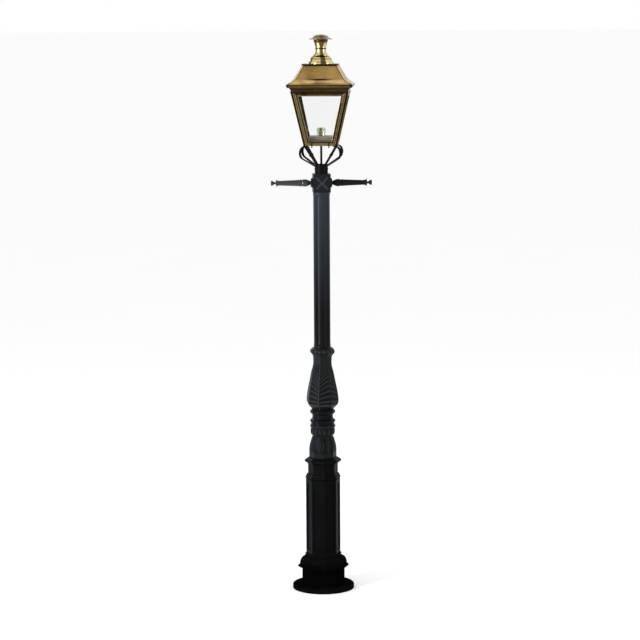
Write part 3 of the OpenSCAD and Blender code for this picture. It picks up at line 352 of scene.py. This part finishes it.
# painted light: each paint below sets its own top-light colour to the light on its parts, lightest and bluest
# on the shaft; the two arms are one paint, lit on the left and shaded on the right
castPaint = makeIronPaint("castIronPaint")
barPaint = makeIronPaint("forgedSteelPaint", rough=0.30, ripple=70.0, grainDepth=0.00006,
                         faded=(0.004, 0.0045, 0.005, 1))
shaftPaint = makeIronPaint("shaftPaint", rough=0.30, shine=0.09, faded=(0.024, 0.029, 0.039, 1),
                           fadeFrom=1.55, fadeOver=0.85)
carvedPaint = makeIronPaint("carvedPaint", rough=0.34, shine=0.055)
blockPaint = makeIronPaint("blockPaint", rough=0.34, shine=0.12, faded=(0.0060, 0.0080, 0.0105, 1))
leafPaint = makeIronPaint("leafPaint", rough=0.26, shine=0.30, faded=(0.0105, 0.0135, 0.0175, 1))
litArm = makeIronPaint("litArmPaint", rough=0.24, shine=0.50, faded=(0.0150, 0.0172, 0.0208, 1))
shadedArm = makeIronPaint("shadedArmPaint", rough=0.36, shine=0.08, faded=(0.0048, 0.0055, 0.0058, 1))
plinthPaint = makeIronPaint("plinthPaint", rough=0.6, shine=0.0, dark=(0.0007, 0.0007, 0.0007, 1),
                            light=(0.0017, 0.0017, 0.0018, 1), faded=(0.0055, 0.0055, 0.0058, 1),
                            fadeFrom=0.12, fadeOver=0.12)
footPaint = makeIronPaint("footPaint", rough=0.55, shine=0.0, light=(0.0050, 0.0050, 0.0048, 1))
beadBrass = makeBrass("beadBrass", stripBrass)
agedShadedBrass = makeBrass("agedShadedBrass", frameBrass)

finishes = {
    footPaint: ["base_flange"],
    plinthPaint: ["plinth"],
    castPaint: ["pedestal", "pedestal_cap"],
    carvedPaint: ["bell", "lobed_drum", "ring_collar", "vase"],
    shaftPaint: ["shaft"],
    blockPaint: ["ladder_block"],
    leafPaint: ["block_carving"],
    litArm: ["ladder_arm_left"],
    shadedArm: ["ladder_arm_right"],
    barPaint: ["frog_socket", "frog_set_screws", "frog_legs", "frog_scrolls", "conduit"],
    makeBrass("roofBrass", roofBrass): ["eaves_skirt", "roof_shell"],
    makeBrass("spunBrass", chimneyBrass): ["chimney_foot", "chimney_neck", "cap_stays"],
    makeBrass("domeBrass", capBrass): ["chimney_cap"],
    makeBrass("railBrass", railBrass): ["bottom_frame"],
    makeBrass("postBrass", postBrass): ["post_front_left", "post_front_right", "post_back_left",
                                        "post_back_right"],
    agedShadedBrass: ["frieze_frame", "frame_left", "frame_right", "frame_back", "door_frame", "crown_plate",
                "hinge_lugs"],
    makeBrass("brightBrass", fittingBrass): ["glass_clips", "door_clips", "frog_nuts", "conduit_nuts"],
    makeBrass("darkBrass", buttonBrass): ["turn_button_left", "turn_button_right", "button_screws"],
    makeBrass("hipBrass", hipBrass): ["hip_cappings"],
    makeBrass("socketBrass", holderBrass): ["lampholder_base", "lampholder_shell"],
    makeSteel("pinSteel", steelLook): ["hinge_pins", "conduit_bush", "lampholder_contact"],
    makeTrayPaint("trayPaint", trayLook): ["floor_tray"],
    makePorcelain("porcelainGlaze", glazeLook): ["lampholder_ring"],
    makeGlass("paneGlass", paneLook): ["glass_left", "glass_right", "glass_back", "door_glass"],
}
for material, names in finishes.items():
    for name in names:
        slots = nodes[name].material_slots
        for slot in slots:
            slot.material = material
        if not slots:
            nodes[name].data.materials.append(material)
print("finishes given to", sum(len(names) for names in finishes.values()), "nodes")


# carved and dressed pieces: places are millimetres until they are divided by 1000, while the radii of beads
# and the turned profiles are metres
class Build:  # gathers several shapes into one mesh
    def __init__(self):
        self.verts = []
        self.faces = []

    def loft(self, rings, closed=False, capped=False):
        first = len(self.verts)
        count = len(rings[0])
        for ring in rings:
            self.verts.extend(ring)
        spans = len(rings) if closed else len(rings) - 1
        for i in range(spans):
            low = first + i * count
            high = first + ((i + 1) % len(rings)) * count
            for j in range(count):
                k = (j + 1) % count
                self.faces.append((low + j, low + k, high + k, high + j))
        if capped:
            self.faces.append(tuple(first + j for j in reversed(range(count))))
            last = first + (len(rings) - 1) * count
            self.faces.append(tuple(last + j for j in range(count)))
        return self

    def turned(self, profile, place, steps, capped=False):  # pairs of radius and height, spun about local Z
        angles = [2 * math.pi * j / steps for j in range(steps)]
        return self.loft([[place @ Vector((r * math.cos(a), r * math.sin(a), z)) for a in angles]
                          for r, z in profile], capped=capped)

    def tube(self, points, radius, sides, up):  # a bead along a line
        angles = [2 * math.pi * j / sides for j in range(sides)]
        rings = []
        for i, point in enumerate(points):
            before, after = points[max(i - 1, 0)], points[min(i + 1, len(points) - 1)]
            along = (after - before).normalized()
            across = along.cross(up).normalized()
            over = across.cross(along).normalized()
            rings.append([point + radius * (math.cos(a) * across + math.sin(a) * over) for a in angles])
        return self.loft(rings, capped=True)

    def piece(self, name, material, body="post", sharp=35.0):
        mesh = bpy.data.meshes.new(name)
        mesh.from_pydata([tuple(v) for v in self.verts], [], self.faces)
        mesh.validate()
        mesh.shade_smooth()
        mesh.set_sharp_from_angle(angle=math.radians(sharp))
        mesh.materials.append(material)
        piece = bpy.data.objects.new(name, mesh)
        scene.collection.objects.link(piece)
        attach(piece, body)
        return piece


def smoothCurve(points, t):  # the outline's radius at t, through points of (t, radius)
    for i in range(len(points) - 1):
        if t <= points[i + 1][0] or i == len(points) - 2:
            a, b = points[max(i - 1, 0)], points[i]
            c, d = points[i + 1], points[min(i + 2, len(points) - 1)]
            width = c[0] - b[0]
            u = (t - b[0]) / width
            m0 = (c[1] - a[1]) / (c[0] - a[0]) * width
            m1 = (d[1] - b[1]) / (d[0] - b[0]) * width
            return (b[1] * (2 * u ** 3 - 3 * u ** 2 + 1) + m0 * (u ** 3 - 2 * u ** 2 + u)
                    + c[1] * (3 * u ** 2 - 2 * u ** 3) + m1 * (u ** 3 - u ** 2))


def leafPlace(angle, count):  # 0 on a leaf's midrib, 1 between two leaves
    return abs(((angle / 360 * count + 0.5) % 1) - 0.5) * 2


def flatSide(angle, pitch):  # a polygon's radius as a share of its corners', for sides of this many degrees
    return math.cos(math.radians(pitch / 2)) / math.cos(math.radians((angle % pitch) - pitch / 2))


def hump(x, middle, width):
    return math.exp(-((x - middle) / width) ** 2)


def fade(t, start, end):
    return t / start if t < start else (1 - t) / end if t > 1 - end else 1.0


def carvedTube(name, node, look, outerRadius, highlightAt, rise=lambda angle, t: t):
    build = Build()
    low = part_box(node)[0].z
    turn = math.radians(look["turn"])
    columns, rows = look["columns"], look["rows"]

    def ring(radiusAt, heightAt):
        points = []
        for j in range(columns):
            degrees = 360 * j / columns
            angle = math.radians(degrees) + turn
            r = radiusAt(degrees)
            points.append(Vector((r * math.cos(angle), r * math.sin(angle), low + heightAt(degrees))))
        return points
    rings = [ring(lambda a, t=i / rows: outerRadius(a, t) / 1000,
                  lambda a, t=i / rows: look["tall"] * rise(a, t) / 1000) for i in range(rows + 1)]
    rings += [ring(lambda a, r=r: r / 1000, lambda a, z=z: z / 1000) for z, r in reversed(look["bore"])]
    build.loft(rings, closed=True)
    piece = build.piece(name, carvedPaint, sharp=60.0)
    # the painted highlight's share at each point
    paintedHighlight = [highlightAt(360 * j / columns, i / rows) for i in range(rows + 1) for j in range(columns)]
    paintedHighlight += [0.0] * (len(look["bore"]) * columns)
    layer = piece.data.attributes.new("paintedHighlight", "FLOAT", "POINT")
    layer.data.foreach_set("value", paintedHighlight)
    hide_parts(node)


# the vase: four leaves folded over eight flat sides, with veins that climb from the rib to the groove
vaseLook = {"turn": -12.0, "columns": 320, "rows": 260, "leaves": 4, "veins": 20, "veinFrom": 0.07,
            "veinTo": 0.87, "veinDepth": 2.0, "spread": 0.28, "climb": 0.15, "flat": 0.85, "ends": 0.1,
            "rib": 1.4, "ribWide": 0.04, "groove": 2.5, "grooveWide": 0.035, "lip": 1.3, "lipAt": 0.925,
            "lipWide": 0.03, "lipBeads": 16, "crestHighlight": 0.44, "ribHighlight": 0.55, "lipHighlight": 0.56,
            "lipHighlightAt": 0.945, "lipHighlightWide": 0.02, "tall": 342.0,
            "outline": [(0, 59), (0.03, 68), (0.07, 82), (0.12, 89), (0.16, 90), (0.23, 87.5), (0.32, 82.5),
                        (0.46, 72), (0.6, 62), (0.72, 51.5), (0.83, 51.5), (0.87, 54.5), (0.905, 63.5),
                        (0.935, 68.5), (0.965, 65.5), (0.985, 58.5), (1, 50.5)],
            "bore": [(0, 44), (17, 50), (44, 71), (82, 69), (137, 59), (212, 38), (256, 32), (342, 32)]}


def vaseRise(w):  # the rows, and with them the veins, stand further apart low down
    return w + vaseLook["spread"] * w * (1 - w)


def vaseShear(angle, w):
    t = vaseRise(w)
    return t + vaseLook["climb"] * leafPlace(angle, vaseLook["leaves"]) ** 0.8 * math.sin(math.pi * t) ** 2


def vaseRelief(angle, w):  # how deep the veins are cut here, and the rib and the groove that bound a leaf
    t = vaseRise(w)
    u = leafPlace(angle, vaseLook["leaves"])
    wave = math.sin(math.pi * ((vaseLook["veins"] * w) % 1) ** 1.5) ** 1.4
    veined = w >= vaseLook["veinFrom"] and t <= vaseLook["veinTo"]
    vein = wave * min(1, u * 9) * min(1, (1 - u) * 9) if veined else 0.0
    return vein, hump(u, 0, vaseLook["ribWide"]), hump(1 - u, 0, vaseLook["grooveWide"]), u, t


def vaseLip(angle):
    return math.cos(math.radians(vaseLook["lipBeads"] * angle))


def vaseRadius(angle, w):
    vein, rib, edge, u, t = vaseRelief(angle, w)
    side = flatSide(angle, 180 / vaseLook["leaves"])
    share = max(0.0, fade(t, vaseLook["ends"], vaseLook["ends"]))
    lip = vaseLook["lip"] * vaseLip(angle) * hump(t, vaseLook["lipAt"], vaseLook["lipWide"])
    around = smoothCurve(vaseLook["outline"], vaseShear(angle, w)) * (1 + vaseLook["flat"] * share * (side - 1))
    cut = vaseLook["rib"] * rib - vaseLook["groove"] * edge - vaseLook["veinDepth"] * vein
    return around + share * cut + lip


# painted highlight on the veins' crests, the rib and the lip's beads
def vaseHighlight(angle, w):
    vein, rib, edge, u, t = vaseRelief(angle, w)
    lip = hump(t, vaseLook["lipHighlightAt"], vaseLook["lipHighlightWide"]) * (0.5 + 0.5 * vaseLip(angle))
    below = t < vaseLook["veinTo"]
    crest = max(0.0, 1 - 1.5 * vein) ** 3 * min(1, u * 6) if below and t > 0.06 else 0.1
    brightened = vaseLook["crestHighlight"] * crest + vaseLook["ribHighlight"] * rib * below + vaseLook["lipHighlight"] * lip - edge
    return max(0.0, min(1.0, brightened))


carvedTube("vaseLeaves", "vase", vaseLook, vaseRadius, vaseHighlight, vaseShear)
print("vase carved")

# the bell: eight standing leaves above a plain eight-sided foot
bellLook = {"turn": 7.0, "columns": 256, "rows": 110, "leaves": 8, "leafLow": 0.22, "leafTall": 0.74,
            "leafHalf": 0.80, "least": 0.02, "belly": 1.2, "rim": 1.3, "rimAt": 0.78, "rimWide": 0.09,
            "rib": 0.9, "ribWide": 0.05, "veins": 9, "slope": 1.4, "veinDepth": 0.7, "outside": 1.6,
            "outsideAt": 1.06, "outsideWide": 0.10, "line": 1.4, "lineAt": 0.21, "lineWide": 0.012,
            "tall": 115.0,
            "outline": [(0, 75.5), (0.36, 75.5), (0.56, 73), (0.74, 67.5), (0.92, 61.5), (1, 57)],
            "bore": [(0, 57.5), (57.5, 54.5), (115, 44)]}


def bellLeaf(t):  # the leaf's half width at this height
    along = min(1, max(0, (t - bellLook["leafLow"]) / bellLook["leafTall"]))
    return bellLook["leafHalf"] * math.sin(math.pi * along) ** 0.6


def bellWave(u, t):
    return 0.5 - 0.5 * math.cos(2 * math.pi * (bellLook["veins"] * t - bellLook["slope"] * u))


def bellRadius(angle, t):
    pitch = 360 / bellLook["leaves"]
    u = leafPlace(angle - pitch / 2, bellLook["leaves"])
    r = smoothCurve(bellLook["outline"], t) * (1 + (flatSide(angle, pitch) - 1) * (1 - t) ** 0.5)
    half = bellLeaf(t)
    if half > bellLook["least"]:
        inside = u / half
        if inside < 1:
            r += bellLook["belly"] * (1 - inside ** 4)
            r -= bellLook["rim"] * hump(inside, bellLook["rimAt"], bellLook["rimWide"])
            r += bellLook["rib"] * hump(u, 0, bellLook["ribWide"])
            r -= bellLook["veinDepth"] * bellWave(u, t) * min(1, u * 8) * (1 - inside) * 2
        r -= bellLook["outside"] * hump(inside, bellLook["outsideAt"], bellLook["outsideWide"])
    return r - bellLook["line"] * hump(t, bellLook["lineAt"], bellLook["lineWide"])


# painted highlight between the veins of each leaf and along its rib
def bellHighlight(angle, t):
    u = leafPlace(angle - 180 / bellLook["leaves"], bellLook["leaves"])
    half = bellLeaf(t)
    if half < bellLook["least"]:
        return 0.12
    return 0.22 * (1 - bellWave(u, t)) ** 2 * math.exp(-(u / half / 0.8) ** 6) + 0.2 * hump(u, 0, 0.06)


carvedTube("bellLeaves", "bell", bellLook, bellRadius, bellHighlight)

# the drum: sixteen lobes under a plain rounded ring
drumLook = {"turn": 12.0, "columns": 320, "rows": 80, "lobes": 16, "lobeLow": 0.04, "lobeSpan": 0.64,
            "lobeTop": 0.68, "swell": 1.2, "cleft": 4.4, "ringHighlight": 0.30, "ringHighlightAt": 0.80, "lobeHighlight": 0.32,
            "tall": 70.0,
            "outline": [(0, 57), (0.08, 58), (0.18, 64), (0.32, 66.5), (0.56, 66.5), (0.66, 64), (0.70, 65),
                        (0.74, 69), (0.81, 70), (0.88, 69), (0.95, 65), (1, 64)],
            "bore": [(0, 44), (70, 44)]}


def drumRadius(angle, t):
    u = leafPlace(angle, drumLook["lobes"])
    up = (t - drumLook["lobeLow"]) / drumLook["lobeSpan"]
    share = math.sin(math.pi * up) ** 0.45 if drumLook["lobeLow"] <= t <= drumLook["lobeTop"] else 0.0
    return smoothCurve(drumLook["outline"], t) + share * (drumLook["swell"] - drumLook["cleft"] * u ** 2.6)


# painted highlight on the ring's bead and down the middle of each lobe
def drumHighlight(angle, t):
    u = leafPlace(angle, drumLook["lobes"])
    if t > drumLook["lobeTop"]:
        return drumLook["ringHighlight"] * hump(t, drumLook["ringHighlightAt"], 0.05)
    up = max(0.0, t - drumLook["lobeLow"]) / drumLook["lobeSpan"]
    return drumLook["lobeHighlight"] * (1 - u) ** 1.5 * math.sin(math.pi * up) ** 0.6


carvedTube("drumLobes", "lobed_drum", drumLook, drumRadius, drumHighlight)
print("bell and drum carved")


# the lantern's tapering faces: across, up the face and outwards, in millimetres
body = {"bottomHalf": 90.0, "topHalf": 160.0, "low": 2457.0, "tall": 313.0, "friezeLow": 2742.0, "rail": 16.0,
        "post": 24.0, "stile": 10.0, "recess": 1.0, "frame": 4.0, "doorGap": 1.0}
lean = math.atan((body["topHalf"] - body["bottomHalf"]) / body["tall"])
faceTop = (body["friezeLow"] - body["low"]) / math.cos(lean)
faceRail = body["rail"] / math.cos(lean)
glazedTop = faceTop - body["doorGap"] - (body["recess"] + body["frame"]) * math.tan(lean)
quarters = (0, 90, 180, 270)


def onFace(turn, across, up, out=0.0):
    point = Vector((across, -body["bottomHalf"] - up * math.sin(lean) - out * math.cos(lean),
                    body["low"] + up * math.cos(lean) - out * math.sin(lean)))
    return Matrix.Rotation(math.radians(turn), 3, "Z") @ point / 1000


def faceHalf(up):
    return body["bottomHalf"] + up * math.sin(lean)


def faceOut(turn):
    return Matrix.Rotation(math.radians(turn), 3, "Z") @ Vector((0, -math.cos(lean), -math.sin(lean)))


def standing(point, out):  # a place whose local Z points outwards
    return Matrix.Translation(point) @ out.to_track_quat("Z", "Y").to_matrix().to_4x4()


postBead = {"outerIn": 12.5, "outerR": 0.0013, "innerIn": 3.0, "innerR": 0.0014, "sides": 10, "proud": 0.2,
            "ups": (1.5, 100, 200, faceTop - 2)}
beads = Build()
for turn in quarters:
    for side in (-1, 1):
        for inward, radius in ((postBead["outerIn"], postBead["outerR"]),
                               (body["post"] - postBead["innerIn"], postBead["innerR"])):
            line = [onFace(turn, side * (faceHalf(up) - inward), up, postBead["proud"])
                    for up in postBead["ups"]]
            beads.tube(line, radius, postBead["sides"], faceOut(turn))
beads.piece("postBeads", beadBrass)

# beads round each pane, with a heavier one under the top rail
glazing = {"radius": 0.0013, "in": 1.3, "sides": 8, "proud": 0.2, "drop": 2.4, "dropRadius": 0.0030,
           "dropSides": 10, "dropProud": 0.3, "dropShort": 1.0}
for name, turns, gap, rides in (("fixedGlazingBeads", (90, 180, 270), 0.0, "post"),
                                ("doorGlazingBeads", (0,), body["doorGap"], "door")):
    beads = Build()
    for turn in turns:
        low, high = faceRail + body["doorGap"] + body["stile"], glazedTop - body["stile"]
        inward = gap + body["post"] + body["stile"] - glazing["in"]
        lowHalf, highHalf = faceHalf(low) - inward, faceHalf(high) - inward
        out = -body["recess"] + glazing["proud"]
        reach = highHalf - glazing["dropShort"]
        beads.tube([onFace(turn, x, high - glazing["drop"], out + glazing["dropProud"])
                    for x in (-reach, 0, reach)], glazing["dropRadius"], glazing["dropSides"], faceOut(turn))
        low, high = low - glazing["in"], high + glazing["in"]
        corners = [(-lowHalf, low), (lowHalf, low), (highHalf, high), (-highHalf, high)]
        for (x0, u0), (x1, u1) in zip(corners, corners[1:] + corners[:1]):
            beads.tube([onFace(turn, x0, u0, out), onFace(turn, (x0 + x1) / 2, (u0 + u1) / 2, out),
                        onFace(turn, x1, u1, out)], glazing["radius"], glazing["sides"], faceOut(turn))
    beads.piece(name, beadBrass, rides)

rivet = {"steps": 12, "ups": (8.0, 60.0, faceTop / 2, faceTop - 60, faceTop - 9),
         "profile": [(0.0026, -0.0004), (0.0026, 0.0003), (0.0022, 0.0009), (0.0013, 0.0014), (0.0002, 0.0016)]}
heads = Build()
for turn in quarters:
    for side in (-1, 1):
        for up in rivet["ups"]:
            point = onFace(turn, side * (faceHalf(up) - body["post"] / 2), up)
            heads.turned(rivet["profile"], standing(point, faceOut(turn)), rivet["steps"], capped=True)
heads.piece("postRivets", agedShadedBrass)

# collars halfway up the frog's legs; a collar's radii are shares of the leg's
frog = {"socketR": 33.0, "legLow": 2353.0, "inset": 10.0, "outset": 5.0, "under": 3.0, "legR": 0.006,
        "collarAt": 0.52, "steps": 20,
        "collar": [(1, -0.005), (1.25, -0.0045), (1.38, -0.002), (1.38, 0.002), (1.25, 0.0045), (1, 0.005)]}
legFoot = Vector((frog["socketR"], 0, frog["legLow"]))
legHead = Vector(((body["bottomHalf"] - frog["inset"]) * math.sqrt(2) + frog["outset"], 0,
                  body["low"] - frog["under"]))
collarPlace = standing((legFoot + (legHead - legFoot) * frog["collarAt"]) / 1000,
                       (legHead - legFoot).normalized())
collars = Build()
for turn in quarters:
    collars.turned([(frog["legR"] * share, z) for share, z in frog["collar"]],
                   Matrix.Rotation(math.radians(45 + turn), 4, "Z") @ collarPlace, frog["steps"])
collars.piece("legCollars", barPaint)

# carved leaves on the block's front and back, ridged and with scalloped edges, round a rosette
carving = {"half": 48.0, "low": 2203.0, "tall": 100.0, "turn": 7.0, "start": 4.0, "leaf": 50.0, "reach": 0.93,
           "wide": 13.0, "thin": 0.25, "scallop": 0.10, "scallops": 16, "rise": 1.3, "sunk": 0.3,
           "crest": 0.35, "rows": 24, "sides": 12, "steps": 28,
           "rosette": [(0.0100, -0.0004), (0.0098, 0.0010), (0.0086, 0.0016), (0.0074, 0.0009),
                       (0.0064, 0.0010), (0.0056, 0.0024), (0.0034, 0.0036), (0.0002, 0.0041)]}
leavesMesh = Build()
for back in (0, 180):
    centre = (0, -carving["half"] / 1000, (carving["low"] + carving["tall"] / 2) / 1000)
    frameAt = (Matrix.Rotation(math.radians(carving["turn"] + back), 4, "Z") @ Matrix.Translation(centre)
               @ Matrix.Rotation(math.radians(90), 4, "X"))
    for corner in (45, 135, 225, 315):
        around = frameAt @ Matrix.Rotation(math.radians(corner), 4, "Z")
        rings = []
        for i in range(carving["rows"] + 1):
            t = i / carving["rows"]
            scallop = 1 + carving["scallop"] * math.cos(carving["scallops"] * math.pi * t)
            half = max(carving["thin"], carving["wide"] / 2 * math.sin(math.pi * t) ** 0.8 * scallop)
            lift = carving["rise"] * math.sin(math.pi * min(1, t * 1.02)) ** 0.5
            ring = []
            for j in range(carving["sides"]):
                angle = 2 * math.pi * j / carving["sides"]
                side = abs(math.cos(angle))
                ridge = lift * (1 - side ** 0.8) + carving["crest"] * lift * (side < 0.2)
                z = ridge if math.sin(angle) > 0 else -carving["sunk"]
                x = carving["start"] + carving["leaf"] * t * carving["reach"]
                ring.append(around @ (Vector((x, half * math.cos(angle), z)) / 1000))
            rings.append(ring)
        leavesMesh.loft(rings, capped=True)
    leavesMesh.turned(carving["rosette"], frameAt, carving["steps"], capped=True)
leavesMesh.piece("blockLeaves", leafPaint)

# a crimped guard strip closes the vent under the chimney's cap to insects; in metres
guard = {"inset": 0.0025, "wall": 0.0008, "crimp": 0.0006, "crimps": 36, "steps": 216, "low": 0.004,
         "high": 0.0065}
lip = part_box("chimney_neck")[1]


def guardRing(inset, rise):
    points = []
    for j in range(guard["steps"]):
        angle = 2 * math.pi * j / guard["steps"]
        r = lip.x - inset + guard["crimp"] * math.cos(guard["crimps"] * angle)
        points.append(Vector((r * math.cos(angle), r * math.sin(angle), lip.z + rise)))
    return points


outside, inside = guard["inset"], guard["inset"] + guard["wall"]
guardStrip = Build().loft([guardRing(outside, -guard["low"]), guardRing(outside, guard["high"]),
                           guardRing(inside, guard["high"]), guardRing(inside, -guard["low"])], closed=True)
guardStrip.piece("ventGuard", agedShadedBrass)
print("lantern, frog and block dressed")


# floor and light
floorLook = {"size": 8000.0, "colour": (0.93, 0.93, 0.93, 1), "shade": (0.90, 0.90, 0.90, 1), "dapple": 0.6}
bpy.ops.mesh.primitive_plane_add(size=floorLook["size"], location=(0, 0, 0))
floor = bpy.context.object
floor.name = "floor"
ground = Finish("paleFloor")
dapple = ground.noise(ground.place(), floorLook["dapple"], 2.0, 0.5)
ground.give(Base_Color=ground.blend(dapple * 0.5, floorLook["colour"], floorLook["shade"]), Roughness=0.9,
            Specular_IOR_Level=0.1)
floor.data.materials.append(ground.material)

studio = {"air": 1.04, "backdrop": 1.0}
world = bpy.data.worlds.new("studio")
scene.world = world
world.use_nodes = True
sky = world.node_tree
background = sky.nodes["Background"]
background.inputs["Color"].default_value = (studio["air"],) * 3 + (1,)
rays = sky.nodes.new("ShaderNodeLightPath")
seen = sum((Wire(sky, rays.outputs[kind])
            for kind in ("Is Camera Ray", "Is Glossy Ray", "Is Transmission Ray")), 0)
white = sky.nodes.new("ShaderNodeBackground")
white.inputs["Color"].default_value = (studio["backdrop"],) * 3 + (1,)
pick = sky.nodes.new("ShaderNodeMixShader")
sky.links.new(seen.held().socket, pick.inputs[0])
sky.links.new(background.outputs[0], pick.inputs[1])
sky.links.new(white.outputs[0], pick.inputs[2])
sky.links.new(pick.outputs[0], sky.nodes["World Output"].inputs["Surface"])

lamps = {"key": {"place": (-5.0, -4.2, 2.2), "aim": (0, 0, 1.5), "size": (1.3, 3.6), "power": 420.0,
                 "tint": (0.84, 0.92, 1.0)},
         "side": {"place": (5.6, -2.6, 2.6), "aim": (0, 0, 1.7), "size": (0.7, 2.6), "power": 70.0,
                  "tint": (1.0, 0.97, 0.92)},
         "rim": {"place": (-3.0, 4.4, 3.6), "aim": (0, 0, 2.2), "size": (1.4, 1.4), "power": 30.0,
                 "tint": (1.0, 1.0, 1.0)}}
for name, lamp in lamps.items():
    data = bpy.data.lights.new(name, "AREA")
    data.shape = "RECTANGLE"
    data.energy = lamp["power"]
    data.size, data.size_y = lamp["size"]
    data.color = lamp["tint"]
    holder = bpy.data.objects.new(name, data)
    scene.collection.objects.link(holder)
    holder.location = lamp["place"]
    holder.rotation_euler = (Vector(lamp["aim"]) - Vector(lamp["place"])).to_track_quat("-Z", "Y").to_euler()
print("lights:", ", ".join(lamps))

# camera at the photograph's viewing angle
shot = {"turn": 3.0, "distance": 11.6, "height": 3.08, "down": 7.755, "roll": 0.32, "aside": -0.0118,
        "lens": 120.09, "sensor": 36.0, "far": 9000.0}
camera = bpy.data.objects.new("camera", bpy.data.cameras.new("camera"))
camera.data.sensor_width = shot["sensor"]
camera.data.lens = shot["lens"]
camera.data.clip_end = shot["far"]
turn = math.radians(shot["turn"])
facing = (Matrix.Rotation(turn, 4, "Z") @ Matrix.Rotation(math.radians(90 - shot["down"]), 4, "X")
          @ Matrix.Rotation(math.radians(-shot["roll"]), 4, "Z"))
stand = Vector((shot["distance"] * math.sin(turn), -shot["distance"] * math.cos(turn), shot["height"]))
stand += shot["aside"] * Vector((math.cos(turn), math.sin(turn), 0))
camera.matrix_world = Matrix.Translation(stand) @ facing
scene.collection.objects.link(camera)
scene.camera = camera
scene.view_settings.view_transform = "Standard"
print("camera placed")
